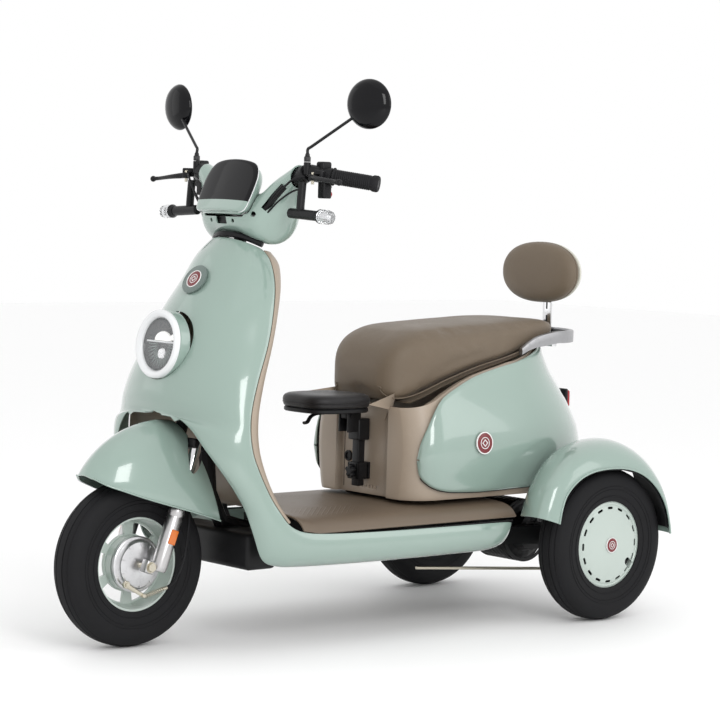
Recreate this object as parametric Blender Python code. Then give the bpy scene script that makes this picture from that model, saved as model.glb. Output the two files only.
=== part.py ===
"""Three-wheel electric leisure scooter with a small child seat in front of the rider.

Metres, +Z up. +X is the rider's left, the scooter faces -Y, and it stands on Z = 0.
"""
import math

import bmesh
import bpy
from mathutils import Matrix, Vector

# ---- driving dimensions ---------------------------------------------------
WHEELBASE = 1.172
TRACK = 0.620                 # between the middles of the two rear tyres
TYRE_RADIUS = 0.185
TYRE_WIDTH = 0.082
RIM_RADIUS = 0.111            # over the rim flange
RIM_WIDTH = 0.060
TAIL_REACH = 0.198            # rear tips of the mudguards behind the rear axle
RAIL_REACH = 0.124            # rear end of the grab rail behind the rear axle
RAKE = math.radians(20.0)     # steering axis, from upright
LEAD = 0.028                  # front axle ahead of the steering axis
FORK_TRAVEL = 0.040
LEG_SPREAD = 0.075            # fork leg from the middle plane
STANCHION_RADIUS = 0.0125
STEERER_RADIUS = 0.0145
BAR_RADIUS = 0.011
GRIP_RADIUS = 0.0165
GRIP_LENGTH = 0.125
SHELL = 0.003                 # wall of the moulded panels
FLOOR_EDGE = 0.252            # half width over the foot boards
BOX_SLACK = 0.010             # seat box inside the skin line of the covers
AXLE_RADIUS = 0.009
AXLE_TUBE_RADIUS = 0.022
POST_SIDE = 0.022             # square post of the child seat
BATTERY = Vector((0.20, 0.24, 0.17))
GAP = 0.0006                  # between pieces that rest on each other
SLIDE = 0.0010                # between pieces that move on each other

# ---- places worked out from them ------------------------------------------
FRONT_Y = -(WHEELBASE + TAIL_REACH - TYRE_RADIUS) / 2
REAR_Y = FRONT_Y + WHEELBASE
AXLE_Z = TYRE_RADIUS
WHEEL_X = TRACK / 2
X_AXIS = Vector((1, 0, 0))
UP_FORK = Vector((0, math.sin(RAKE), math.cos(RAKE)))
OFF_FORK = Vector((0, -math.cos(RAKE), math.sin(RAKE)))
AXLE_OFF = LEAD * math.cos(RAKE)
AXLE_DOWN = -LEAD * math.sin(RAKE)


def fore(x, y, z):
    """A point with y measured back from the front axle."""
    return Vector((x, FRONT_Y + y, z))


def aft(x, y, z):
    """A point with y measured back from the rear axle."""
    return Vector((x, REAR_Y + y, z))


def fork(x, along, off=0.0):
    """A point beside the steering axis: along it from axle height, and ahead of it."""
    return fore(x, LEAD, AXLE_Z) + UP_FORK * along + OFF_FORK * off


# ---- materials --------------------------------------------------------------
FINISHES = {
    "mint_paint": ((0.36, 0.47, 0.41), 0.22, 0.0),
    "beige_plastic": ((0.29, 0.23, 0.18), 0.45, 0.0),
    "black_plastic": ((0.012, 0.012, 0.013), 0.5, 0.0),
    "gloss_black": ((0.006, 0.006, 0.007), 0.08, 0.0),
    "black_frame": ((0.010, 0.010, 0.011), 0.55, 0.0),
    "alloy": ((0.55, 0.55, 0.56), 0.3, 1.0),
    "steel": ((0.35, 0.35, 0.36), 0.35, 1.0),
    "rail_grey": ((0.36, 0.36, 0.37), 0.35, 0.3),
    "tyre": ((0.012, 0.012, 0.012), 0.85, 0.0),
    "taupe_leather": ((0.23, 0.17, 0.13), 0.5, 0.0),
    "dark_leather": ((0.016, 0.015, 0.016), 0.5, 0.0),
    "clear_lens": ((0.8, 0.8, 0.8), 0.1, 0.0),
    "red_lens": ((0.25, 0.01, 0.01), 0.15, 0.0),
    "cream_plastic": ((0.57, 0.56, 0.48), 0.3, 0.0),
}


def finish(name):
    """The shared material of that name, made the first time it is asked for."""
    if name in bpy.data.materials:
        return bpy.data.materials[name]
    colour, rough, metal = FINISHES[name]
    made = bpy.data.materials.new(name)
    made.use_nodes = True
    shader = made.node_tree.nodes["Principled BSDF"]
    shader.inputs["Base Color"].default_value = (*colour, 1)
    shader.inputs["Roughness"].default_value = rough
    shader.inputs["Metallic"].default_value = metal
    return made


# ---- shape tools --------------------------------------------------------------
def put(name, bm, look, pivot=None, sharp=35):
    """Makes the object, with its origin at pivot (world coordinates)."""
    pivot = Vector(pivot) if pivot is not None else Vector()
    bmesh.ops.translate(bm, vec=-pivot, verts=bm.verts)
    mesh = bpy.data.meshes.new(name)
    bm.to_mesh(mesh)
    bm.free()
    mesh.shade_smooth()
    mesh.set_sharp_from_angle(angle=math.radians(sharp))
    obj = bpy.data.objects.new(name, mesh)
    bpy.context.scene.collection.objects.link(obj)
    obj.location = pivot
    obj.data.materials.append(finish(look))
    return obj


def helper(obj):
    obj.hide_render = True
    obj.display_type = "WIRE"
    return obj


def combine(obj, others, operation="UNION"):
    """Live booleans of obj with helper objects."""
    for other in others:
        modifier = obj.modifiers.new(other.name, "BOOLEAN")
        modifier.operation = operation
        modifier.solver = "EXACT"
        modifier.object = helper(other)
    return obj


def turn_to(axis):
    """Rotation that takes +Z to axis."""
    return Vector((0, 0, 1)).rotation_difference(Vector(axis).normalized()).to_matrix()


def lathe(profile, centre, axis, steps=32):
    """Turns a closed profile of (radius, height) points about axis through centre."""
    bm = bmesh.new()
    ring = [bm.verts.new((r, 0, h)) for r, h in profile]
    edges = [bm.edges.new((ring[i], ring[(i + 1) % len(ring)])) for i in range(len(ring))]
    bmesh.ops.spin(bm, geom=ring + edges, cent=(0, 0, 0), axis=(0, 0, 1),
                   angle=2 * math.pi, steps=steps, use_merge=True)
    bmesh.ops.remove_doubles(bm, verts=bm.verts, dist=1e-6)
    loose = [edge for edge in bm.edges if not edge.link_faces]
    bmesh.ops.delete(bm, geom=loose, context="EDGES")
    bmesh.ops.recalc_face_normals(bm, faces=bm.faces)
    place = Matrix.Translation(Vector(centre)) @ turn_to(axis).to_4x4()
    bmesh.ops.transform(bm, matrix=place, verts=bm.verts)
    return bm


def rod(start, end, radius, steps=16, bore=None):
    """A round bar, or a tube where a bore radius is given."""
    start, end = Vector(start), Vector(end)
    length = (end - start).length
    inner = bore if bore else 0.0
    profile = [(inner, 0), (radius, 0), (radius, length), (inner, length)]
    return lathe(profile, start, end - start, steps)


def block(low, high, bevel=0.0, segments=2):
    """A box between two corners, with its edges rounded."""
    low, high = Vector(low), Vector(high)
    bm = bmesh.new()
    bmesh.ops.create_cube(bm, size=1)
    size = high - low
    bmesh.ops.scale(bm, vec=size, verts=bm.verts)
    bmesh.ops.translate(bm, vec=(low + high) / 2, verts=bm.verts)
    if bevel:
        bmesh.ops.bevel(bm, geom=bm.edges[:], offset=bevel, segments=segments, profile=0.5,
                        affect="EDGES", clamp_overlap=True, material=-1)
    return bm


def spun(bm, matrix, about=(0, 0, 0)):
    bmesh.ops.transform(bm, matrix=Matrix.Translation(Vector(about)) @ matrix.to_4x4(), verts=bm.verts)
    return bm


def loft(rings):
    """Skins closed rings of equal length and caps both ends."""
    bm = bmesh.new()
    rows = [[bm.verts.new(point) for point in ring] for ring in rings]
    count = len(rows[0])
    for low, high in zip(rows, rows[1:]):
        for i in range(count):
            j = (i + 1) % count
            bm.faces.new((low[i], low[j], high[j], high[i]))
    bm.faces.new(rows[0][::-1])
    bm.faces.new(rows[-1])
    bmesh.ops.recalc_face_normals(bm, faces=bm.faces)
    return bm


def sweep(points, radii, sides=12, squash=1.0):
    """A round tube of changing radius along points; squash flattens it sideways."""
    points = [Vector(p) for p in points]
    start = (points[1] - points[0]).normalized()
    side = start.cross(Vector((0, 0, 1)))
    if side.length < 0.2:
        side = X_AXIS.copy()
    rings = []
    for i, point in enumerate(points):
        ahead = points[min(i + 1, len(points) - 1)] - points[max(i - 1, 0)]
        ahead.normalize()
        side = (side - ahead * side.dot(ahead)).normalized()
        over = side.cross(ahead)
        ring = []
        for k in range(sides):
            angle = 2 * math.pi * k / sides
            ring.append(point + side * math.cos(angle) * radii[i] * squash + over * math.sin(angle) * radii[i])
        rings.append(ring)
    return loft(rings)


def corner(start, knee, end, steps):
    """A quarter ellipse from start to end, tangent to the lines that meet at knee."""
    start, knee, end = Vector(start), Vector(knee), Vector(end)
    points = []
    for i in range(steps + 1):
        angle = math.pi / 2 * i / steps
        points.append(start + (knee - start) * math.sin(angle) + (end - knee) * (1 - math.cos(angle)))
    return points


def skin(name, rows, look, inside, wall=SHELL, mirrored=False, pivot=None):
    """A moulded panel: a grid of points made into a wall, which grows towards inside."""
    bm = bmesh.new()
    grid = [[bm.verts.new(point) for point in row] for row in rows]
    for low, high in zip(grid, grid[1:]):
        for i in range(len(low) - 1):
            bm.faces.new((low[i], low[i + 1], high[i + 1], high[i]))
    if mirrored:
        bmesh.ops.mirror(bm, geom=bm.verts[:] + bm.edges[:] + bm.faces[:], axis="X", merge_dist=1e-5)
        bmesh.ops.remove_doubles(bm, verts=bm.verts, dist=1e-5)
    bmesh.ops.dissolve_degenerate(bm, dist=1e-5, edges=bm.edges)
    bmesh.ops.recalc_face_normals(bm, faces=bm.faces)
    inside = Vector(inside)
    facing = sum((face.calc_center_median() - inside).dot(face.normal) * face.calc_area() for face in bm.faces)
    if facing < 0:
        bmesh.ops.reverse_faces(bm, faces=bm.faces)
    obj = put(name, bm, look, pivot)
    modifier = obj.modifiers.new("wall", "SOLIDIFY")
    modifier.thickness = wall
    modifier.offset = -1
    modifier.use_even_offset = True
    return obj


def flip(point):
    return Vector((-point.x, point.y, point.z))


def between(low, high, t):
    return low + (high - low) * t


def ladder(value, table):
    """Reads a value from (key, value) rungs, straight between them."""
    for (k0, v0), (k1, v1) in zip(table, table[1:]):
        if value <= k1:
            return between(v0, v1, max(0.0, (value - k0) / (k1 - k0)))
    return table[-1][1]


# ---- front body ---------------------------------------------------------------
# Each row of the leg shield: its front point, its knee and its outer edge point.
SHIELD_TOP = [
    ((0, 0.235, 0.906), (0.088, 0.237, 0.904), (0.090, 0.284, 0.880)),
    ((0, 0.200, 0.868), (0.115, 0.203, 0.866), (0.117, 0.284, 0.855)),
    ((0, 0.164, 0.807), (0.140, 0.168, 0.805), (0.143, 0.277, 0.806)),
    ((0, 0.120, 0.740), (0.163, 0.124, 0.738), (0.169, 0.254, 0.745)),
    ((0, 0.085, 0.670), (0.180, 0.088, 0.667), (0.190, 0.225, 0.675)),
    ((0, 0.062, 0.600), (0.204, 0.066, 0.600), (0.211, 0.184, 0.600)),
    ((0, 0.056, 0.550), (0.218, 0.060, 0.547), (0.222, 0.160, 0.540)),
    ((0, 0.058, 0.520), (0.225, 0.062, 0.512), (0.227, 0.153, 0.500)),
]
SHIELD_ARCH = [
    ((0.085, 0.056, 0.513), (0.228, 0.064, 0.487), (0.231, 0.153, 0.468)),
    ((0.130, 0.065, 0.488), (0.233, 0.072, 0.452), (0.235, 0.158, 0.436)),
    ((0.165, 0.078, 0.447), (0.238, 0.087, 0.413), (0.239, 0.171, 0.402)),
    ((0.190, 0.098, 0.407), (0.243, 0.107, 0.374), (0.242, 0.187, 0.369)),
    ((0.203, 0.127, 0.363), (0.249, 0.136, 0.334), (0.245, 0.206, 0.336)),
    ((0.212, 0.155, 0.315), (0.256, 0.166, 0.295), (0.249, 0.227, 0.307)),
    ((0.218, 0.175, 0.262), (0.264, 0.192, 0.258), (FLOOR_EDGE - 0.001, 0.246, 0.285)),
    ((0.221, 0.199, 0.205), (0.270, 0.220, 0.222), (FLOOR_EDGE, 0.270, 0.270)),
    ((0.223, 0.240, 0.187), (0.274, 0.262, 0.197), (FLOOR_EDGE, 0.302, 0.261)),
    ((0.224, 0.300, 0.182), (0.276, 0.320, 0.191), (FLOOR_EDGE, 0.350, 0.256)),
    ((0.224, 0.400, 0.179), (0.276, 0.420, 0.188), (FLOOR_EDGE, 0.440, 0.252)),
    ((0.224, 0.560, 0.177), (0.276, 0.570, 0.186), (FLOOR_EDGE, 0.580, 0.249)),
]
SKIRT_AFT = [
    ((0.224, -0.400, 0.177), (0.276, -0.395, 0.186), (FLOOR_EDGE, -0.390, 0.247)),
    ((0.224, -0.310, 0.178), (0.275, -0.290, 0.187), (FLOOR_EDGE, -0.270, 0.246)),
    ((0.226, -0.266, 0.186), (0.258, -0.254, 0.194), (FLOOR_EDGE - 0.003, -0.240, 0.243)),
]
LAMP_AT = (0.0, 0.070, 0.667)
LAMP_RADIUS = 0.077
LAMP_TILT = math.radians(7)


def leg_shield():
    rows = [corner(fore(*a), fore(*k), fore(*b), 6) for a, k, b in SHIELD_TOP + SHIELD_ARCH]
    rows += [corner(aft(*a), aft(*k), aft(*b), 6) for a, k, b in SKIRT_AFT]
    shield = skin("leg_shield", rows, "mint_paint", fore(0, 0.25, 0.5), mirrored=True)
    ahead = Vector((0, -math.cos(LAMP_TILT), math.sin(LAMP_TILT)))
    lamp = fore(*LAMP_AT)
    hole = put("lamp_hole", rod(lamp + ahead * 0.03, lamp - ahead * 0.09, LAMP_RADIUS + SLIDE, 32), "black_plastic")
    combine(shield, [hole], "DIFFERENCE")
    return shield


def inner_shield():
    """Closes the shield on the rider's side, a thin gap behind its edge."""
    backs = [(0.352, 0.866), (0.366, 0.832), (0.352, 0.785), (0.324, 0.728), (0.296, 0.660),
             (0.270, 0.592), (0.254, 0.530), (0.247, 0.490), (0.243, 0.455), (0.243, 0.424),
             (0.246, 0.394), (0.254, 0.364), (0.266, 0.336), (0.280, 0.312), (0.292, 0.300)]
    rows = []
    for (y, z), (_, _, edge) in zip(backs, SHIELD_TOP + SHIELD_ARCH):
        start = fore(edge[0] - 0.001, edge[1] + 0.0036, edge[2])
        rows.append(corner(fore(0, y, z), fore(start.x, y, (z + edge[2]) / 2), start, 4))
    return skin("inner_shield", rows, "beige_plastic", fore(0, 0.15, 0.6), mirrored=True)


FLOOR_TOP = 0.290
PEDAL_X = -0.150


def floor_board():
    """Crowned foot board from the shield to behind the seat box."""
    rows = []
    rungs = [fore(0, y, 0) for y in (0.296, 0.320, 0.360, 0.430, 0.520, 0.600)]
    rungs += [aft(0, y, 0) for y in (-0.480, -0.370, -0.270, -0.222)]
    for at in rungs:
        lift = ladder(at.y, [(fore(0, 0.296, 0).y, 0.008), (fore(0, 0.34, 0).y, 0.0)])
        row = [Vector((0, at.y, FLOOR_TOP + lift)), Vector((0.09, at.y, FLOOR_TOP + lift)),
               Vector((0.17, at.y, FLOOR_TOP - 0.002 + lift)), Vector((0.215, at.y, FLOOR_TOP - 0.008 + lift)),
               Vector((0.237, at.y, FLOOR_TOP - 0.020 + lift)), Vector((FLOOR_EDGE - 0.0045, at.y, 0.257 + lift))]
        rows.append(row)
    floor = skin("floor_board", rows, "beige_plastic", fore(0, 0.5, 0.0), wall=0.004, mirrored=True)
    slot = put("pedal_slot", block(fore(PEDAL_X - 0.014, 0.330, 0.24), fore(PEDAL_X + 0.014, 0.425, 0.32)), "black_plastic")
    return combine(floor, [slot], "DIFFERENCE")


def headlight():
    """Turned lamp housing with a proud ring, open at the front as a shallow bowl."""
    r = LAMP_RADIUS
    profile = [(0.0, -0.060), (0.045, -0.056), (r, -0.030), (r, 0.006), (r - 0.004, 0.013),
               (r - 0.017, 0.012), (r - 0.022, 0.0), (0.040, -0.016), (0.0, -0.020)]
    ahead = Vector((0, -math.cos(LAMP_TILT), math.sin(LAMP_TILT)))
    put("headlight", lathe(profile, fore(*LAMP_AT), ahead, 32), "gloss_black")


# ---- rear body ------------------------------------------------------------------
TAIL_START = -0.172           # where the plan of the body starts to close, from the rear axle
BOX_FRONT = -0.506            # front of the side panels, from the rear axle
PANEL_BACK = 0.018            # front panel behind the side panels
HALF_WIDTH = [(0.280, 0.190), (0.320, 0.202), (0.420, 0.212), (0.510, 0.198), (0.590, 0.172), (0.690, 0.150)]
TAIL_LENGTH = [(0.280, 0.310), (0.420, 0.330), (0.510, 0.282), (0.590, 0.222), (0.690, 0.180)]
SEAT_LINE = [(-0.600, 0.521), (-0.500, 0.521), (-0.445, 0.535), (-0.390, 0.560), (-0.300, 0.594),
             (-0.170, 0.624), (-0.050, 0.662), (0.030, 0.684), (0.100, 0.690)]
FRONT_ROUND = 0.075
TAIL_TOP = 0.165              # length of the closing tail at the rim
SEAT_GAP = 0.0045             # from the cushion's underside to the rim of the box


def half_width(y, z, extra=0.0):
    """Half the width of the rear body at y behind the rear axle and height z."""
    width = ladder(z, HALF_WIDTH) + extra
    if y < BOX_FRONT + FRONT_ROUND:
        drop = (BOX_FRONT + FRONT_ROUND - y) / FRONT_ROUND
        return width - FRONT_ROUND + FRONT_ROUND * math.sqrt(max(0.0, 1 - drop * drop))
    if y > TAIL_START:
        share = (y - TAIL_START) / (ladder(z, TAIL_LENGTH) + extra)
        return width * math.sqrt(max(0.0, 1 - share * share))
    return width


LIP_LAP = 0.012               # how far the box's lip runs in under the cushion
LIP_DROP = 0.003


def seat_box():
    """Battery and storage bay under the seat, open at the top."""
    bottom = FLOOR_TOP + 0.010
    front = BOX_FRONT + PANEL_BACK
    columns = [(0.0, front), (0.045, front), (0.088, front), (0.092, BOX_FRONT + 0.004)]
    for i in range(1, 6):
        angle = math.pi / 2 * i / 5
        columns.append((None, BOX_FRONT + FRONT_ROUND * (1 - math.cos(angle)) + 0.002))
    columns += [(None, y) for y in (-0.380, -0.300, TAIL_START)]
    tail = [math.radians(a) for a in (25, 50, 70, 90)]
    rows = []
    for share in (0.0, 0.22, 0.5, 0.78, 1.0):
        row = []
        for x, y in columns:
            z = between(bottom, ladder(y, SEAT_LINE) - SEAT_GAP, share)
            row.append(aft(half_width(y, z, -BOX_SLACK) if x is None else x, y, z))
        for angle in tail:
            top = ladder(TAIL_START + TAIL_TOP * math.sin(angle), SEAT_LINE) - SEAT_GAP - 0.002
            z = between(bottom, top, share)
            width = ladder(z, HALF_WIDTH) - BOX_SLACK
            length = ladder(z, TAIL_LENGTH) - BOX_SLACK
            row.append(aft(width * math.cos(angle) if angle < 1.57 else 0.0, TAIL_START + length * math.sin(angle), z))
        rows.append(row)
    lip = []
    widths = [(y, half) for y, half, _, _ in SEAT_STATIONS]
    for (x, y), point in zip(columns, rows[-1]):
        if x is None:
            reach = max(0.092, ladder(y, widths) - LIP_LAP)
            lip.append(Vector((min(point.x - 0.008, reach), point.y, point.z - LIP_DROP)))
        else:
            lip.append(point + Vector((0, 0.010, -LIP_DROP)))
    for angle, point in zip(tail, rows[-1][len(columns):]):
        lip.append(point - Vector((0.008 * math.cos(angle) if angle < 1.57 else 0.0, 0.008 * math.sin(angle), LIP_DROP)))
    rows.append(lip)
    return skin("seat_box", rows, "beige_plastic", aft(0, -0.3, 0.45), mirrored=True)


COVER_FRONT = -0.490
# y behind the rear axle, lower edge, upper edge
COVER_EDGES = [
    (COVER_FRONT, 0.388, 0.408), (-0.486, 0.366, 0.432), (-0.474, 0.347, 0.465), (-0.450, 0.331, 0.510),
    (-0.410, 0.321, 0.551), (-0.360, 0.317, 0.580), (-0.290, 0.315, 0.599), (-0.172, 0.318, 0.616),
]


def side_cover(side, name):
    """Teardrop side cover that runs round the tail to the middle plane."""
    stations = [(None, edges[0]) for edges in COVER_EDGES]
    stations += [(math.radians(a), None) for a in (18, 36, 54, 72, 88.6)]
    lower = [(y, low) for y, low, _ in COVER_EDGES]
    upper = [(y, high) for y, _, high in COVER_EDGES]
    rows = []
    for angle, y in stations:
        at = y if y is not None else TAIL_START + TAIL_TOP * math.sin(angle)
        high = ladder(at, SEAT_LINE) - SEAT_GAP - (0.001 if angle is None else 0.003)
        top = high if angle is not None else min(high, ladder(y, upper))
        low = ladder(TAIL_START if y is None else y, lower)
        row = []
        for share in (0.0, 0.06, 0.2, 0.4, 0.6, 0.8, 0.94, 1.0):
            z = between(low, top, share)
            puff = 0.004 + 0.006 * math.sin(math.pi * min(1.0, max(0.0, share)))
            if angle is None:
                x = half_width(y, z, puff)
                point = aft(x, y, z)
            else:
                length = ladder(z, TAIL_LENGTH) + puff
                point = aft((ladder(z, HALF_WIDTH) + puff) * math.cos(angle), TAIL_START + length * math.sin(angle), z)
            row.append(point if side > 0 else flip(point))
        rows.append(row)
    return skin(name, rows, "mint_paint", aft(0, -0.2, 0.45))


LAMP_LOW = 0.488


def tail_light():
    """Lamp block on the tail, a gap behind the two covers."""
    face = TAIL_START + ladder(LAMP_LOW, TAIL_LENGTH) + 0.016
    put("tail_light", block(aft(-0.045, face, LAMP_LOW), aft(0.045, face + 0.018, LAMP_LOW + 0.044), 0.006), "red_lens")


FENDER_INNER_X = 0.262
FENDER_OUTER_X = 0.372


def rear_fender(side, name):
    """Arched mudguard: high and round inboard, turned down to an arch round the tyre."""
    crown = [(162, 0.312, 0.217, 0.075), (153, 0.316, 0.2235, 0.077), (143, 0.314, 0.228, 0.071),
             (130, 0.302, 0.221, 0.053), (116, 0.286, 0.207, 0.034), (98, 0.271, 0.192, 0.020),
             (80, 0.262, 0.187, 0.010), (62, 0.252, 0.186, 0.006), (44, 0.238, 0.185, 0.006),
             (28, 0.222, 0.184, 0.005), (14, 0.206, 0.182, 0.004), (6, TAIL_REACH - 0.004, 0.182, 0.004)]
    rows = []
    for degrees, outer, opening, tuck in crown:
        angle = math.radians(degrees)
        spoke = Vector((0, math.cos(angle), math.sin(angle)))
        hub = aft(0, 0, AXLE_Z)
        inner = hub + spoke * (outer - tuck) + X_AXIS * FENDER_INNER_X
        knee = hub + spoke * (outer + 0.004) + X_AXIS * FENDER_OUTER_X
        edge = hub + spoke * opening + X_AXIS * (FENDER_OUTER_X + 0.004)
        row = corner(inner, knee, edge, 7)
        rows.append([p if side > 0 else flip(p) for p in row])
    return skin(name, rows, "mint_paint", aft(side * 0.27, 0.0, AXLE_Z + 0.05))


RAIL_HALF = 0.162
RAIL_THICK = 0.012
RAIL_TALL = 0.030
RAIL_Z = 0.676


def grab_rail():
    """Flat-section loop round the back of the seat, feet on the covers' rear shoulders."""
    turn = -0.020                 # where the side runs start to close, from the rear axle
    reach = RAIL_REACH - RAIL_THICK / 2
    full = RAIL_TALL / 2
    path = [(RAIL_HALF, -0.142, 0.6425, 0.0080), (RAIL_HALF, -0.120, 0.6540, 0.0100),
            (RAIL_HALF, -0.090, 0.6650, 0.0130), (RAIL_HALF, -0.055, 0.6710, full)]
    for degrees in range(0, 90, 15):
        angle = math.radians(degrees)
        path.append((RAIL_HALF * math.cos(angle), turn + (reach - turn) * math.sin(angle), RAIL_Z, full))
    path.append((0.0, reach, RAIL_Z, full))
    loop = path + [(-x, y, z, tall) for x, y, z, tall in reversed(path[:-1])]
    rings = []
    for i, (x, y, z, tall) in enumerate(loop):
        before, after = loop[max(i - 1, 0)], loop[min(i + 1, len(loop) - 1)]
        ahead = Vector((after[0] - before[0], after[1] - before[1], 0)).normalized()
        out = Vector((ahead.y, -ahead.x, 0)) * RAIL_THICK / 2
        mid = aft(x, y, z)
        up = Vector((0, 0, tall))
        rings.append([mid + out + up, mid + out - up, mid - out - up, mid - out + up])
    rail = put("grab_rail", loft(rings), "rail_grey")
    ears = []
    for side in (1, -1):
        x = sorted((side * 0.100, side * 0.145))
        ears.append(put(f"rail_ear_{side}", block(aft(x[0], 0.032, 0.666), aft(x[1], 0.052, 0.674)), "rail_grey"))
    return combine(rail, ears)


# ---- seat -----------------------------------------------------------------------
# y behind the rear axle, half width, underside, top
SEAT_STATIONS = [
    (-0.520, 0.072, 0.554, 0.602), (-0.513, 0.094, 0.532, 0.628), (-0.498, 0.113, 0.524, 0.654),
    (-0.474, 0.127, 0.525, 0.675), (-0.442, 0.138, 0.536, 0.688), (-0.405, 0.146, 0.553, 0.695),
    (-0.365, 0.151, 0.570, 0.699), (-0.280, 0.154, 0.598, 0.704), (-0.180, 0.153, 0.622, 0.709),
    (-0.090, 0.149, 0.649, 0.713), (-0.020, 0.138, 0.670, 0.713), (0.012, 0.120, 0.679, 0.710),
    (0.024, 0.100, 0.685, 0.704),
]
SEAT_HINGE = (0.0, -0.520, 0.5475)


def seat_parts():
    pivot = aft(*SEAT_HINGE)
    rings = []
    base_rings = []
    for y, half, low, high in SEAT_STATIONS:
        ring = []
        middle = (low + high) / 2
        for k in range(16):
            angle = 2 * math.pi * (k + 0.5) / 16
            c, s = math.cos(angle), math.sin(angle)
            power = 0.42
            x = half * math.copysign(abs(c) ** power, c)
            z = middle + (high - low) / 2 * math.copysign(abs(s) ** power, s)
            ring.append(aft(x, y, z))
        rings.append(ring)
    for y, half, low, high in SEAT_STATIONS[3:-2]:
        inset = half - 0.005
        base_rings.append([aft(inset, y, low - GAP), aft(-inset, y, low - GAP),
                           aft(-inset + 0.002, y, low - 0.0034), aft(inset - 0.002, y, low - 0.0034)])
    put("seat_cushion", loft(rings), "taupe_leather", pivot)
    put("seat_base", loft(base_rings), "black_plastic", pivot)


BACKREST = (0.0, 0.074, 0.830)


def backrest():
    """Oval pad on a steel channel."""
    middle = aft(*BACKREST)
    rings = []
    shell_rings = []
    for y, share in ((-0.024, 0.62), (-0.022, 0.84), (-0.012, 0.98), (0.004, 1.0), (0.014, 0.95), (0.017, 0.86)):
        ring = []
        for k in range(24):
            angle = 2 * math.pi * k / 24
            c, s = math.cos(angle), math.sin(angle)
            x = 0.127 * share * math.copysign(abs(c) ** 0.9, c)
            z = 0.076 * (1 - (1 - share) * 1.3) * math.copysign(abs(s) ** 0.9, s)
            ring.append(middle + Vector((x, y, z)))
        rings.append(ring)
    for y, share in ((0.0178, 0.99), (0.020, 1.0), (0.027, 0.96), (0.030, 0.80)):
        shell_rings.append([middle + Vector((0.125 * share * math.cos(a), y, 0.073 * share * math.sin(a)))
                            for a in (2 * math.pi * k / 24 for k in range(24))])
    put("backrest_cushion", loft(rings), "taupe_leather")
    put("backrest_shell", loft(shell_rings), "cream_plastic")
    face = middle.y + 0.030 + GAP
    rail_face = aft(0, RAIL_REACH - RAIL_THICK - 0.0025, 0).y
    upright = block((-0.016, face, 0.642), (0.016, rail_face, 0.800))
    bracket = put("backrest_bracket", upright, "steel")
    under = RAIL_Z - RAIL_TALL / 2 - GAP
    foot = put("backrest_foot", block((-0.024, face, under - 0.018), (0.024, aft(0, RAIL_REACH - 0.002, 0).y, under)), "steel")
    return combine(bracket, [foot])


def battery_pack():
    low = aft(-BATTERY.x / 2, -0.470, FLOOR_TOP + 0.001)
    put("battery_pack", block(low, low + BATTERY, 0.008), "black_plastic")


# ---- child seat -------------------------------------------------------------------
POST_Y = -0.512               # from the rear axle
CHILD_HINGE = (0.0, -0.552, 0.490)
CHILD_MIDDLE = -0.616
CHILD_HALF = Vector((0.085, 0.092, 0))
CHILD_BASE_Z = 0.502
KNOB_Z = 0.357


def rounded_ring(middle, half_x, half_y, z, power=0.62, count=24):
    ring = []
    for k in range(count):
        angle = 2 * math.pi * (k + 0.5) / count
        c, s = math.cos(angle), math.sin(angle)
        ring.append(middle + Vector((half_x * math.copysign(abs(c) ** power, c),
                                     half_y * math.copysign(abs(s) ** power, s), z)))
    return ring


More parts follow.
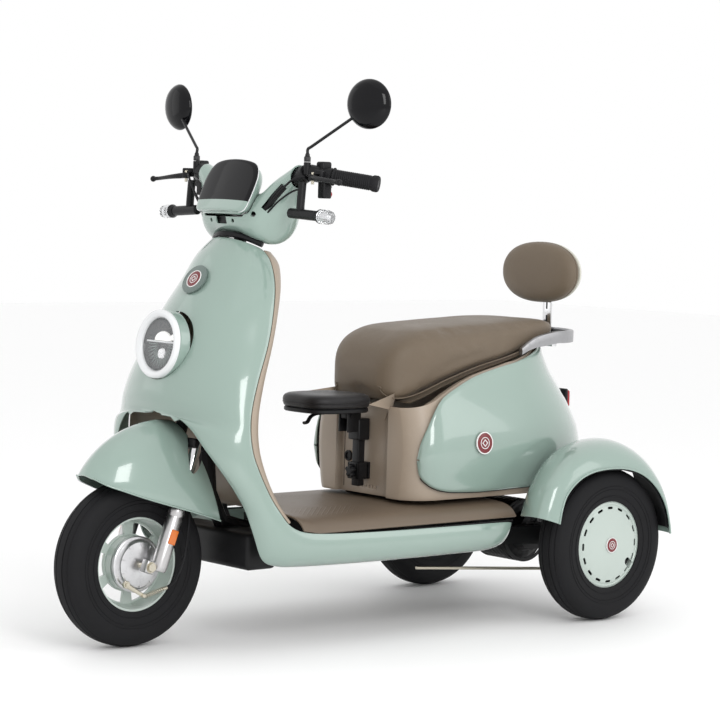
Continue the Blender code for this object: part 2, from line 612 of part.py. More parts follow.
def child_seat():
    middle = aft(0, CHILD_MIDDLE, 0)
    hinge = aft(*CHILD_HINGE)
    plate = loft([rounded_ring(middle, CHILD_HALF.x - 0.002, CHILD_HALF.y - 0.002, CHILD_BASE_Z + z) for z in (0, 0.010)])
    base = put("child_seat_base", plate, "black_plastic", hinge)
    ear = put("child_ear", block(hinge + Vector((-0.012, -0.009, -0.009)), hinge + Vector((0.012, 0.009, 0.015))), "black_plastic")
    combine(base, [ear])
    top = CHILD_BASE_Z + 0.010 + GAP
    pads = [(top, 0.0, 0.96), (top + 0.006, 0.002, 1.0), (top + 0.022, 0.001, 1.0), (top + 0.029, -0.003, 0.93), (top + 0.032, -0.010, 0.78)]
    rings = [rounded_ring(middle, CHILD_HALF.x + grow - (1 - share) * 0.02, CHILD_HALF.y + grow - (1 - share) * 0.02, z) for z, grow, share in pads]
    put("child_seat_cushion", loft(rings), "dark_leather", hinge)
    half = POST_SIDE / 2
    post_mid = aft(0, POST_Y, 0)
    post = put("child_post", block(post_mid + Vector((-half, -half, 0.320)), post_mid + Vector((half, half, 0.470))), "black_frame",
               post_mid + Vector((0, 0, 0.345)))
    block_low = post_mid + Vector((-0.020, -0.018, 0.430))
    head = put("post_head", block(block_low, block_low + Vector((0.040, 0.036, 0.052)), 0.004), "black_frame")
    forks = []
    for side in (1, -1):
        x = sorted((side * 0.013, side * 0.018))
        cheek = block((x[0], hinge.y - 0.010, hinge.z - 0.040), (x[1], post_mid.y - 0.010, hinge.z + 0.005))
        forks.append(put(f"cheek_{side}", cheek, "black_frame"))
    pin = put("child_pin", rod(hinge + Vector((-0.022, 0, 0)), hinge + Vector((0.022, 0, 0)), 0.003, 12), "black_frame")
    bore = put("child_pin_hole", rod(hinge + Vector((-0.03, 0, 0)), hinge + Vector((0.03, 0, 0)), 0.0036, 12), "black_frame")
    combine(base, [bore], "DIFFERENCE")
    combine(post, [head, *forks, pin])
    lever_at = aft(0, CHILD_MIDDLE - 0.030, CHILD_BASE_Z - 0.006)
    blade = sweep([lever_at + Vector((0, 0.022, 0.001)), lever_at, lever_at + Vector((0, -0.016, -0.006)),
                   lever_at + Vector((0, -0.026, -0.018)), lever_at + Vector((0, -0.036, -0.020))],
                  [0.0045, 0.004, 0.0035, 0.003, 0.004], 8, 1.6)
    put("child_seat_latch", blade, "black_plastic", lever_at)
    sock = half + 0.007
    low, high = KNOB_Z - 0.020, KNOB_Z + 0.020
    socket = put("child_post_socket", block(post_mid + Vector((-sock, -sock, low)),
                                            aft(sock, BOX_FRONT + PANEL_BACK - GAP, high)), "black_frame")
    inner = half + SLIDE / 2
    hole = put("post_hole", block(post_mid + Vector((-inner, -inner, low - 0.01)), post_mid + Vector((inner, inner, high + 0.01))), "black_frame")
    thread = put("knob_hole", rod(post_mid + Vector((0, 0, KNOB_Z)), post_mid + Vector((0, -0.05, KNOB_Z)), 0.0040, 8), "black_frame")
    combine(socket, [hole, thread], "DIFFERENCE")
    knob_at = post_mid + Vector((0, -sock - GAP, KNOB_Z))
    knob = put("clamp_knob", rod(knob_at, knob_at + Vector((0, -0.010, 0)), 0.010, 10), "black_plastic", knob_at)
    lobes = []
    for i in range(5):
        angle = 2 * math.pi * i / 5 + math.pi / 2
        centre = knob_at + Vector((0.011 * math.cos(angle), 0, 0.011 * math.sin(angle)))
        lobes.append(put(f"knob_lobe_{i}", rod(centre, centre + Vector((0, -0.009, 0)), 0.0055, 8), "black_plastic"))
    screw_end = post_mid + Vector((0, -half - GAP, KNOB_Z))
    lobes.append(put("knob_screw", rod(screw_end, knob_at + Vector((0, -0.002, 0)), 0.003, 8), "black_plastic"))
    combine(knob, lobes)


# ---- frame ------------------------------------------------------------------------
HEAD_LOW, HEAD_HIGH = 0.335, 0.715
BEAM_Z = 0.232
PIVOT = (0.0, -0.270, 0.205)
SWING_X = 0.120
SHOCK_X = 0.116
SHOCK_Y = -0.030
SHOCK_TOP = 0.400
SHOCK_LOW = 0.218


def frame():
    """Backbone: head tube, down tube, floor beam, seat upright and shock bridge."""
    head = put("frame", rod(fork(0, HEAD_LOW), fork(0, HEAD_HIGH), 0.025, 16), "black_frame")
    down = sweep([fork(0, HEAD_LOW + 0.20), fore(0, 0.208, 0.420), fore(0, 0.216, 0.330), fore(0, 0.252, 0.262), fore(0, 0.330, BEAM_Z + 0.006),
                  fore(0, 0.420, BEAM_Z)], [0.019] * 6, 10)
    beam_low = fore(-0.035, 0.340, BEAM_Z - 0.022)
    beam = block(beam_low, aft(0.035, PIVOT[1] + 0.045, BEAM_Z + 0.022))
    nose = block(fore(-0.110, 0.262, 0.196), fore(0.110, 0.345, 0.246), 0.010, 1)
    cross = [block(fore(-0.205, y, BEAM_Z - 0.012), fore(0.205, y + 0.030, BEAM_Z + 0.012)) for y in (0.480, 0.640)]
    lift = block(aft(-0.030, PIVOT[1] + 0.010, BEAM_Z), aft(0.030, PIVOT[1] + 0.045, FLOOR_TOP - 0.006))
    rear_post = block(aft(-0.030, -0.214, BEAM_Z - 0.020), aft(0.030, -0.184, SHOCK_TOP + 0.030))
    link = block(aft(-0.030, PIVOT[1] + 0.030, BEAM_Z - 0.020), aft(0.030, -0.190, BEAM_Z + 0.020))
    bridge_run = block(aft(-0.030, -0.200, SHOCK_TOP + 0.004), aft(0.030, SHOCK_Y, SHOCK_TOP + 0.030))
    bridge = block(aft(-SHOCK_X - 0.018, SHOCK_Y - 0.018, SHOCK_TOP + 0.002), aft(SHOCK_X + 0.018, SHOCK_Y + 0.018, SHOCK_TOP + 0.030))
    ears = []
    for side in (1, -1):
        x = sorted((side * 0.036, side * 0.048))
        ears.append(block(aft(x[0], PIVOT[1] - 0.022, PIVOT[2] - 0.020), aft(x[1], PIVOT[1] + 0.040, BEAM_Z + 0.020)))
    web = block(aft(-0.044, PIVOT[1] - 0.0, BEAM_Z + 0.002), aft(0.044, PIVOT[1] + 0.040, BEAM_Z + 0.022))
    members = [down, beam, nose, *cross, lift, rear_post, link, bridge_run, bridge, *ears, web]
    combine(head, [put(f"frame_member_{i}", bm, "black_frame") for i, bm in enumerate(members)])
    bore = put("head_bore", rod(fork(0, HEAD_LOW - 0.02), fork(0, HEAD_HIGH + 0.02), STEERER_RADIUS + SLIDE, 14), "black_frame")
    gap = put("pivot_gap", rod(aft(-0.30, PIVOT[1], PIVOT[2]), aft(0.30, PIVOT[1], PIVOT[2]), 0.010 + SLIDE, 14), "black_frame")
    return combine(head, [bore, gap], "DIFFERENCE")


def swing_arm():
    """Rear sub-frame: pivot pin, two arms and the axle tube."""
    pivot = aft(*PIVOT)
    hub = aft(0, 0, AXLE_Z)
    pin = put("swing_arm", rod(pivot - X_AXIS * (SWING_X + 0.016), pivot + X_AXIS * (SWING_X + 0.016), 0.010, 14), "black_frame", pivot)
    parts = [rod(hub - X_AXIS * (WHEEL_X - 0.052), hub + X_AXIS * (WHEEL_X - 0.052), AXLE_TUBE_RADIUS, 16)]
    for side in (1, -1):
        x = sorted((side * (SWING_X - 0.014), side * (SWING_X + 0.014)))
        rings = []
        for y, z, tall in ((PIVOT[1] - 0.014, PIVOT[2], 0.016), (PIVOT[1] + 0.07, PIVOT[2] - 0.012, 0.019), (0.0, AXLE_Z, 0.024), (0.018, AXLE_Z, 0.018)):
            rings.append([aft(x[0], y, z - tall), aft(x[1], y, z - tall), aft(x[1], y, z + tall), aft(x[0], y, z + tall)])
        parts.append(loft(rings))
        end = hub + X_AXIS * side * (WHEEL_X + 0.018)
        parts.append(rod(hub + X_AXIS * side * 0.20, end, AXLE_RADIUS, 12))
        low = aft(side * SHOCK_X - 0.014, SHOCK_Y - 0.014, SHOCK_LOW - 0.030)
        parts.append(block(low, low + Vector((0.028, 0.028, 0.029))))
    return combine(pin, [put(f"swing_member_{i}", bm, "black_frame") for i, bm in enumerate(parts)])


def drive_motor():
    """Motor and differential housing carried by the axle tube, split round it."""
    hub = aft(0, 0, AXLE_Z)
    r = 0.078
    bore = AXLE_TUBE_RADIUS + GAP
    profile = [(bore, -0.080), (0.045, -0.080), (0.060, -0.066), (r - 0.004, -0.058), (r, -0.050), (r, 0.035), (r - 0.006, 0.044),
               (0.052, 0.052), (0.046, 0.080), (bore, 0.080)]
    put("drive_motor", lathe(profile, hub, X_AXIS, 20), "black_frame")


def shock(side, name):
    """Coil-over unit drawn as one bellied cylinder; its top end stays with the frame."""
    foot = aft(side * SHOCK_X, SHOCK_Y, SHOCK_LOW)
    length = SHOCK_TOP - SHOCK_LOW
    profile = [(0.0, 0.0), (0.010, 0.0), (0.010, 0.020), (0.019, 0.024)]
    coils = 5
    for i in range(coils):
        low = 0.026 + (length - 0.052) * i / coils
        step = (length - 0.052) / coils
        profile += [(0.0205, low + step * 0.15), (0.0205, low + step * 0.55), (0.0155, low + step * 0.80)]
    profile += [(0.019, length - 0.024), (0.010, length - 0.020), (0.010, length - 0.0005), (0.0, length - 0.0005)]
    put(name, lathe(profile, foot, (0, 0, 1), 10), "steel")


# ---- wheels -----------------------------------------------------------------------
# radius and half width of the tyre's section, as shares of its own
TYRE_SECTION = [(0.680, 0.445), (0.800, 0.500), (0.900, 0.455), (0.965, 0.320), (0.994, 0.140)]


def tyre(centre, name):
    half = [(RIM_RADIUS - 0.0075, RIM_WIDTH / 2 - 0.006), (RIM_RADIUS + 0.002, RIM_WIDTH / 2 - 0.0035)]
    half += [(TYRE_RADIUS * r, TYRE_WIDTH * w) for r, w in TYRE_SECTION]
    profile = half + [(TYRE_RADIUS, 0.0)] + [(r, -w) for r, w in reversed(half)]
    put(name, lathe(profile, centre, X_AXIS, 32), "tyre", centre)


def rim_outline(bore, web_low, web_high, hub_low, hub_high, hub_radius):
    """Half section of a pressed rim: flanges, well, web and hub."""
    r, w = RIM_RADIUS, RIM_WIDTH / 2
    well = r - 0.008
    return [(bore, hub_low), (hub_radius, hub_low), (hub_radius, web_low), (r - 0.022, web_low), (r - 0.014, -w + 0.001),
            (r, -w), (r, -w + 0.0028), (well - 0.0006, -w + 0.005), (well - 0.0006, w - 0.005), (r, w - 0.0028), (r, w),
            (r - 0.014, w - 0.001), (r - 0.022, web_high), (hub_radius, web_high), (hub_radius, hub_high), (bore, hub_high)]


def front_wheel():
    centre = fore(0, 0, AXLE_Z)
    tyre(centre, "front_tyre")
    profile = rim_outline(AXLE_RADIUS + SLIDE, -0.012, -0.004, -0.034, 0.010, 0.022)
    drum = [(0.056, -0.004), (0.056, 0.016), (0.062, 0.016), (0.062, -0.004)]
    at = profile.index((0.022, -0.004))
    profile = profile[:at] + [drum[3], drum[2], drum[1], drum[0]] + profile[at:]
    rim = put("front_rim", lathe(profile, centre, X_AXIS, 32), "alloy", centre)
    windows = []
    for i in range(6):
        rings = []
        for k in range(4):
            angle = math.radians(60 * i + 10 + 40 / 3 * k)
            spoke = Vector((0, math.cos(angle), math.sin(angle)))
            rings.append([centre + spoke * 0.0645 - X_AXIS * 0.02, centre + spoke * (RIM_RADIUS - 0.0235) - X_AXIS * 0.02,
                          centre + spoke * (RIM_RADIUS - 0.0235) + X_AXIS * 0.004, centre + spoke * 0.0645 + X_AXIS * 0.004])
        windows.append(put(f"rim_window_{i}", loft(rings), "alloy"))
    combine(rim, windows, "DIFFERENCE")


def rear_wheel(side, tag):
    centre = aft(side * WHEEL_X, 0, AXLE_Z)
    tyre(centre, f"rear_tyre_{tag}")
    profile = rim_outline(AXLE_RADIUS + SLIDE, 0.008, 0.014, -0.040, 0.015, 0.024)
    axis = X_AXIS * side
    put(f"rear_rim_{tag}", lathe(profile, centre, axis, 32), "alloy", centre)


# ---- fork and steering --------------------------------------------------------------
CROWN = 0.280
CROWN_DEEP = 0.017
CROWN_TALL = 0.011
SLIDER_TOP = 0.135
CLAMP = 0.8165                # handlebar clamp, along the steering axis


def fork_crown():
    pivot = fork(0, 0.30)
    steerer = rod(fork(0, CROWN - 0.010), fork(0, CLAMP - 0.030), STEERER_RADIUS, 14)
    crown = put("fork_crown", steerer, "black_frame", pivot)
    parts = []
    slab = block((-LEG_SPREAD - 0.012, -CROWN_DEEP, -CROWN_TALL), (LEG_SPREAD + 0.012, CROWN_DEEP, CROWN_TALL), 0.003, 1)
    parts.append(spun(slab, turn_to(UP_FORK), fork(0, CROWN)))
    for side in (1, -1):
        x = side * LEG_SPREAD
        parts.append(rod(fork(x, 0.075), fork(x, CROWN + 0.008), STANCHION_RADIUS, 12))
    combine(crown, [put(f"crown_member_{i}", bm, "black_frame") for i, bm in enumerate(parts)])


def fork_lower():
    """Both sliders, bored for the stanchions, joined by the axle."""
    axle = fore(0, 0, AXLE_Z)
    reach = LEG_SPREAD + 0.024
    pin = put("fork_lower", rod(axle - X_AXIS * reach, axle + X_AXIS * reach, AXLE_RADIUS - 0.001, 12), "alloy", axle)
    parts = []
    bores = []
    for side in (1, -1):
        x = side * LEG_SPREAD
        parts.append(rod(fork(x, -0.012), fork(x, SLIDER_TOP), 0.0185, 14))
        lug = block((-0.011, -0.018, -0.020), (0.011, AXLE_OFF + 0.004, 0.024))
        turn = Matrix((X_AXIS, OFF_FORK, UP_FORK)).transposed()
        parts.append(spun(lug, turn, fork(x, AXLE_DOWN, 0.0)))
        parts.append(rod(axle + X_AXIS * (x - side * 0.011), axle + X_AXIS * side * (LEG_SPREAD + 0.014), 0.020, 14))
        bores.append(rod(fork(x, 0.028), fork(x, SLIDER_TOP + 0.01), STANCHION_RADIUS + SLIDE, 12))
    combine(pin, [put(f"fork_member_{i}", bm, "alloy") for i, bm in enumerate(parts)])
    combine(pin, [put(f"fork_bore_{i}", bm, "alloy") for i, bm in enumerate(bores)], "DIFFERENCE")


ARM_PIVOT = (0.0, -0.042, 0.146)
BOSS_FACE = LEG_SPREAD - 0.029   # outer face of the plate's bosses, clear of the left slider


def brake_plate():
    """Drum brake plate on the left of the wheel, with the arm that a cable pulls."""
    axle = fore(0, 0, AXLE_Z)
    bore = AXLE_RADIUS + GAP
    profile = [(bore, 0.0185), (0.0625, 0.0185), (0.0625, 0.024), (0.056, 0.029), (0.030, 0.032),
               (0.024, BOSS_FACE), (bore, BOSS_FACE)]
    plate = put("brake_backplate", lathe(profile, axle, X_AXIS, 24), "alloy", axle)
    pivot = fore(*ARM_PIVOT)
    pin = put("arm_boss", rod(pivot + X_AXIS * 0.0200, pivot + X_AXIS * BOSS_FACE, 0.0075, 10), "alloy")
    combine(plate, [pin])
    base = X_AXIS * (BOSS_FACE + GAP)
    arm_end = fore(0.0, 0.005, 0.118)
    ahead = (arm_end - pivot).normalized()
    across = ahead.cross(X_AXIS)
    rings = []
    long = (arm_end - pivot).length
    for along, half in ((-0.010, 0.004), (-0.006, 0.009), (0.006, 0.009), (0.030, 0.006), (long, 0.006),
                        (long + 0.006, 0.003)):
        mid = pivot + ahead * along + base
        near, far = mid + across * half, mid - across * half
        rings.append([near, far, far + X_AXIS * 0.005, near + X_AXIS * 0.005])
    put("front_brake_arm", loft(rings), "steel", pivot + base)


FENDER_ROWS = [
    ((0.0, -0.1290, 0.386), (0.020, -0.130, 0.386), (0.030, -0.122, 0.380)),
    ((0.0, -0.1150, 0.410), (0.045, -0.112, 0.404), (0.052, -0.100, 0.366)),
    ((0.0, -0.0900, 0.436), (0.068, -0.084, 0.430), (0.070, -0.066, 0.353)),
    ((0.0, -0.0600, 0.459), (0.086, -0.050, 0.453), (0.084, -0.024, 0.338)),
    ((0.0, -0.0200, 0.480), (0.098, -0.010, 0.474), (0.094, 0.024, 0.323)),
    ((0.0, 0.0200, 0.493), (0.106, 0.030, 0.487), (0.101, 0.072, 0.309)),
    ((0.0, 0.0600, 0.500), (0.110, 0.070, 0.492), (0.105, 0.114, 0.296)),
    ((0.0, 0.0880, 0.500), (0.112, 0.096, 0.490), (0.107, 0.146, 0.286)),
    ((0.0, 0.1000, 0.499), (0.112, 0.112, 0.488), (0.107, 0.170, 0.278)),
]


def front_fender():
    rows = [corner(fore(*a), fore(*k), fore(*b), 8) for a, k, b in FENDER_ROWS]
    fender = skin("front_fender", rows, "mint_paint", fore(0, 0.02, 0.36), mirrored=True, pivot=fork(0, 0.30))
    clear = 0.0015
    slab = block((-LEG_SPREAD, -CROWN_DEEP - clear, -CROWN_TALL - clear), (LEG_SPREAD, CROWN_DEEP + clear, CROWN_TALL + clear))
    cuts = [spun(slab, turn_to(UP_FORK), fork(0, CROWN))]
    for side in (1, -1):
        cuts.append(rod(fork(side * LEG_SPREAD, 0.02), fork(side * LEG_SPREAD, CROWN + 0.030), 0.0185 + clear, 16))
    combine(fender, [put(f"fender_cut_{i}", bm, "black_plastic") for i, bm in enumerate(cuts)], "DIFFERENCE")


BAR_BEND = [(0.0, 0.307, 0.952), (0.035, 0.306, 0.955), (0.070, 0.308, 0.966), (0.100, 0.310, 0.986),
            (0.130, 0.313, 1.011), (0.160, 0.316, 1.037), (0.195, 0.322, 1.0545), (0.2165, 0.3360, 1.0520)]
GRIP_START = (0.2165, 0.3360, 1.0520)
GRIP_END = (0.3230, 0.4165, 1.0335)


def bar_point(point, side):
    return fore(side * point[0], point[1], point[2])


def grip_axis(side):
    start, end = bar_point(GRIP_START, side), bar_point(GRIP_END, side)
    return start, (end - start).normalized()


def handlebar():
    end = [GRIP_END]
    left = [bar_point(p, 1) for p in BAR_BEND + end]
    right = [bar_point(p, -1) for p in BAR_BEND[1:] + end]
    path = list(reversed(right)) + left
    bar = put("handlebar", sweep(path, [BAR_RADIUS] * len(path), 10), "black_frame", fork(0, CLAMP))
    stem = rod(fork(0, CLAMP - 0.095), fork(0, CLAMP + 0.004), 0.021, 14)
    combine(bar, [put("bar_stem", stem, "black_frame")])
    bore = rod(fork(0, CLAMP - 0.12), fork(0, CLAMP - 0.0295), STEERER_RADIUS + GAP, 14)
    combine(bar, [put("stem_bore", bore, "black_frame")], "DIFFERENCE")


# x, y back from the front axle, z of the middle, half depth, half height
COVER_RINGS = [
    (0.000, 0.303, 0.948, 0.095, 0.048), (0.035, 0.304, 0.951, 0.090, 0.047), (0.070, 0.306, 0.963, 0.074, 0.044),
    (0.100, 0.309, 0.984, 0.055, 0.040), (0.130, 0.312, 1.010, 0.041, 0.035), (0.160, 0.315, 1.036, 0.032, 0.029),
    (0.186, 0.318, 1.0535, 0.026, 0.025),
]


def headset_cover():
    """Bowl over the bar clamp, rising into an arm on each side; open at the arm ends."""
    rows = []
    for x, y, z, deep, tall in COVER_RINGS:
        ring = []
        for k in range(14):
            angle = 2 * math.pi * k / 14
            ring.append(fore(x, y + deep * math.cos(angle), z + tall * math.sin(angle)))
        rows.append(ring)
    bm = bmesh.new()
    grid = [[bm.verts.new(point) for point in row] for row in rows]
    count = len(grid[0])
    for low, high in zip(grid, grid[1:]):
        for i in range(count):
            j = (i + 1) % count
            bm.faces.new((low[i], low[j], high[j], high[i]))
    bmesh.ops.mirror(bm, geom=bm.verts[:] + bm.edges[:] + bm.faces[:], axis="X", merge_dist=1e-5)
    bmesh.ops.remove_doubles(bm, verts=bm.verts, dist=1e-5)
    bmesh.ops.recalc_face_normals(bm, faces=bm.faces)
    inside = fore(0, 0.303, 0.962)
    if sum((f.calc_center_median() - inside).dot(f.normal) for f in bm.faces) < 0:
        bmesh.ops.reverse_faces(bm, faces=bm.faces)
    cover = put("headset_cover", bm, "mint_paint", fork(0, CLAMP))
    wall = cover.modifiers.new("wall", "SOLIDIFY")
    wall.thickness = SHELL
    wall.offset = -1
    hole = put("stem_hole", rod(fork(0, 0.700), fork(0, 0.800), 0.034, 24), "black_plastic")
    combine(cover, [hole], "DIFFERENCE")


DASH_LEAN = math.radians(24)
DASH_LOW = (0.0, 0.216, 0.968)


def dash():
    """Display housing above the bowl: a glossy front panel and the housing behind it."""
    def face(x, up, back):
        lean = Vector((0, math.sin(DASH_LEAN), math.cos(DASH_LEAN)))
        rear = Vector((0, math.cos(DASH_LEAN), -math.sin(DASH_LEAN)))
        return fore(*DASH_LOW) + X_AXIS * x + lean * up + rear * back

    outline = [(-0.091, 0.0), (0.091, 0.0), (0.089, 0.045), (0.080, 0.088), (0.067, 0.110), (0.043, 0.122), (0.0, 0.127),
               (-0.043, 0.122), (-0.067, 0.110), (-0.080, 0.088), (-0.089, 0.045)]

    def ring(shrink, back, chin=0.0, wrap=0.0):
        points = []
        for x, up in outline:
            low = chin if up == 0.0 else 0.0
            points.append(face(x * (1 - shrink), 0.060 + (up - low - 0.060) * (1 - shrink), back + abs(x) * wrap))
        return points

    thick = 0.0115
    put("dash_visor", loft([ring(0.05, 0.0, 0.0, 0.08), ring(0.0, 0.003, 0.0, 0.08), ring(0.0, thick)]), "gloss_black", fork(0, CLAMP))
    chin = 0.024
    body = loft([ring(0.04, thick + GAP, chin), ring(0.0, 0.018, chin), ring(0.10, 0.036, chin / 2), ring(0.22, 0.044, 0.0)])
    put("dash_pod", body, "mint_paint", fork(0, CLAMP))
    seat = put("dash_seat", loft([ring(-0.02, -0.02, chin + GAP), ring(-0.02, 0.0185, chin + GAP), ring(0.08, 0.037, chin / 2 + GAP), ring(0.19, 0.046, GAP)]),
               "black_plastic")
    combine(bpy.data.objects["headset_cover"], [seat], "DIFFERENCE")


MIRROR_FOOT_Z = 1.078
LEVER_PIVOT = (0.232, 0.3045, 1.044)
LEVER_TIP = (0.3420, 0.2885, 1.0340)
LEVER_THICK = 0.0136
HORN_RADIUS = 0.006
HORN_TRAVEL = 0.0025


def horn_place():
    """Middle of the horn button's back face when it is out."""
    start, ahead = grip_axis(1)
    mid = start + ahead * 0.012
    return Vector((mid.x - 0.003, mid.y + 0.016 + GAP, mid.z - 0.042))


def pods():
    """Switch housings with the lever perches, clamped round the bar inboard of the grips."""
    for side, tag in ((1, "left"), (-1, "right")):
        start, ahead = grip_axis(side)
        low = start - ahead * 0.022
        body = rod(low, low + ahead * 0.052, 0.0185, 12)
        pod = put(f"switch_pod_{tag}", body, "black_plastic", fork(0, CLAMP))
        across = ahead.cross(Vector((0, 0, 1))) * -side
        across.normalize()
        frame_axes = Matrix((ahead, across, ahead.cross(across))).transposed()
        perch = block((0.020, -0.044, -0.010), (0.040, 0.0, 0.010))
        parts = [spun(perch, frame_axes, low)]
        box_low = low + ahead * 0.034
        x = sorted((side * -0.015, side * 0.010))
        hump = block(box_low + Vector((x[0], -0.014, 0.010)), box_low + Vector((x[1], 0.014, 0.030)), 0.004, 1)
        parts.append(hump)
        x = sorted((side * -0.014, side * 0.008))
        parts.append(block(box_low + Vector((x[0], -0.008, -0.052)), box_low + Vector((x[1], 0.016, -0.008))))
        boss = fore(side * 0.203, 0.312, 0)
        parts.append(rod((boss.x, boss.y, 1.050), (boss.x, boss.y, MIRROR_FOOT_Z), 0.008, 12))
        combine(pod, [put(f"pod_member_{tag}_{i}", bm, "black_plastic") for i, bm in enumerate(parts)])
        route = [bar_point(p, side) for p in BAR_BEND[1:] + [GRIP_END]]
        wide = (BAR_RADIUS + GAP) / math.cos(math.pi / 10)
        clear = put(f"pod_bore_{tag}", sweep(route, [wide] * len(route), 10), "black_plastic")
        lever = fore(side * LEVER_PIVOT[0], LEVER_PIVOT[1], LEVER_PIVOT[2])
        half = Vector((0, 0, LEVER_THICK / 2 + SLIDE))
        slot = put(f"lever_slot_{tag}", rod(lever - half * 2, lever + half, 0.020, 16), "black_plastic")
        cuts = [clear, slot]
        if side > 0:
            button = horn_place()
            deep = button - Vector((0, HORN_TRAVEL + 2 * GAP, 0))
            cuts.append(put("horn_recess", rod(deep, button + Vector((0, 0.01, 0)), HORN_RADIUS + SLIDE, 16), "black_plastic"))
        combine(pod, cuts, "DIFFERENCE")


def grips():
    for side, name in ((1, "left_grip"), (-1, "throttle_grip")):
        start, ahead = grip_axis(side)
        begin = start + ahead * 0.0315
        bore = (BAR_RADIUS + GAP) / math.cos(math.pi / 14)
        long = GRIP_LENGTH - 0.020
        profile = [(bore, 0.0), (0.020, 0.0), (0.020, 0.004), (GRIP_RADIUS, 0.006), (GRIP_RADIUS + 0.0008, long * 0.5), (GRIP_RADIUS, long - 0.016),
                   (0.0185, long - 0.013), (0.0185, long - 0.003), (0.0165, long), (bore, long)]
        put(name, lathe(profile, begin, ahead, 14), "black_plastic", begin)


def levers():
    for side, tag in ((1, "left"), (-1, "right")):
        pivot = fore(side * LEVER_PIVOT[0], LEVER_PIVOT[1], LEVER_PIVOT[2])
        tip = fore(side * LEVER_TIP[0], LEVER_TIP[1], LEVER_TIP[2])
        path = [pivot + (tip - pivot) * t + Vector((0, bow, 0)) for t, bow in
                ((-0.06, 0.0), (0.08, -0.003), (0.30, -0.006), (0.55, -0.003), (0.80, 0.002), (0.93, 0.001))]
        ball = (tip - pivot).normalized()
        path += [tip - ball * 0.004, tip + ball * 0.003, tip + ball * 0.006]
        put(f"brake_lever_{tag}", sweep(path, [0.0060, 0.0068, 0.0058, 0.0050, 0.0046, 0.0050, 0.0072, 0.0060, 0.0025], 10), "black_plastic", pivot)


MIRROR = (0.347, 0.358, 1.206)
MIRROR_RADIUS = 0.0545
MIRROR_YAW = {1: math.radians(19), -1: math.radians(6)}


def mirrors():
    for side, tag in ((1, "left"), (-1, "right")):
        foot = fore(side * 0.203, 0.312, MIRROR_FOOT_Z + GAP)
        head = fore(side * MIRROR[0], MIRROR[1], MIRROR[2])
        joint = head + Vector((-side * 0.036, -0.010, -0.030))
        knee = foot + Vector((0, 0.001, 0.028))
        path = [foot, foot + Vector((0, 0, 0.003)), foot + Vector((0, 0, 0.012)), foot + Vector((0, 0, 0.0125)), knee, knee + (joint - knee) * 0.06, joint]
        put(f"mirror_stem_{tag}", sweep(path, [0.0075, 0.0078, 0.0078, 0.0036, 0.0036, 0.0036, 0.0034], 10), "black_plastic", foot)
        face = Vector((-side * math.sin(MIRROR_YAW[side]), math.cos(MIRROR_YAW[side]), 0.04)).normalized()
        r = MIRROR_RADIUS
        profile = [(0.0, -0.010), (0.016, -0.0095), (0.034, -0.006), (0.048, 0.002), (r, 0.012), (r, 0.015), (r - 0.002, 0.0165), (0.0, 0.0150)]
        at = head - face * 0.006
        mirror = put(f"mirror_head_{tag}", lathe(profile, at, face, 24), "black_plastic", joint)
        relief = put(f"stem_relief_{tag}", rod(knee + (joint - knee) * 0.5, joint + (joint - knee).normalized() * 0.0006, 0.0044, 12), "black_plastic")
        combine(mirror, [relief], "DIFFERENCE")


def signals():
    """Indicators: a drop bracket from the bar arm, a cross bar and a lens at its outer end."""
    for side, tag in ((1, "left"), (-1, "right")):
        top = fore(side * 0.203, 0.300, 1.033)
        low = fore(side * 0.203, 0.296, 0.972)
        stalk = sweep([top, low + Vector((0, 0, 0.012)), low], [0.0090, 0.0095, 0.010], 10)
        piece = put(f"turn_signal_{tag}", stalk, "black_plastic", fork(0, CLAMP))
        cross = sweep([fore(side * x, y, z) for x, y, z in ((0.168, 0.294, 0.965), (0.172, 0.294, 0.965), (0.262, 0.297, 0.960), (0.266, 0.297, 0.960))],
                      [0.010, 0.0115, 0.0115, 0.010], 12)
        lens = sweep([fore(side * x, 0.297, z) for x, z in ((0.262, 0.9600), (0.270, 0.9595), (0.300, 0.958), (0.310, 0.9575), (0.314, 0.957))],
                     [0.0120, 0.0160, 0.0160, 0.0110, 0.0060], 10)
        combine(piece, [put(f"signal_bar_{tag}", cross, "black_plastic"), put(f"signal_lens_{tag}", lens, "clear_lens")])


def switches():
    """Horn button and indicator slider on the left pod, and the key barrel on the shield."""
    horn = horn_place()
    put("horn_button", rod(horn, horn + Vector((0, 0.006, 0)), HORN_RADIUS, 16), "black_plastic", horn)
    slider = horn + Vector((0, 0, 0.018))
    low, high = slider - Vector((0.005, 0, 0.004)), slider + Vector((0.005, 0.006, 0.004))
    put("turn_switch", block(low, high, 0.001, 1), "rail_grey", slider)
    key_at = fore(-0.045, 0.3560, 0.800)
    put("ignition_barrel", rod(key_at, key_at + Vector((0, 0.014, 0)), 0.013, 20), "steel", key_at)


# ---- foot brake ---------------------------------------------------------------------
PEDAL_PIVOT = (PEDAL_X, 0.450, 0.180)
CRANK = 0.045


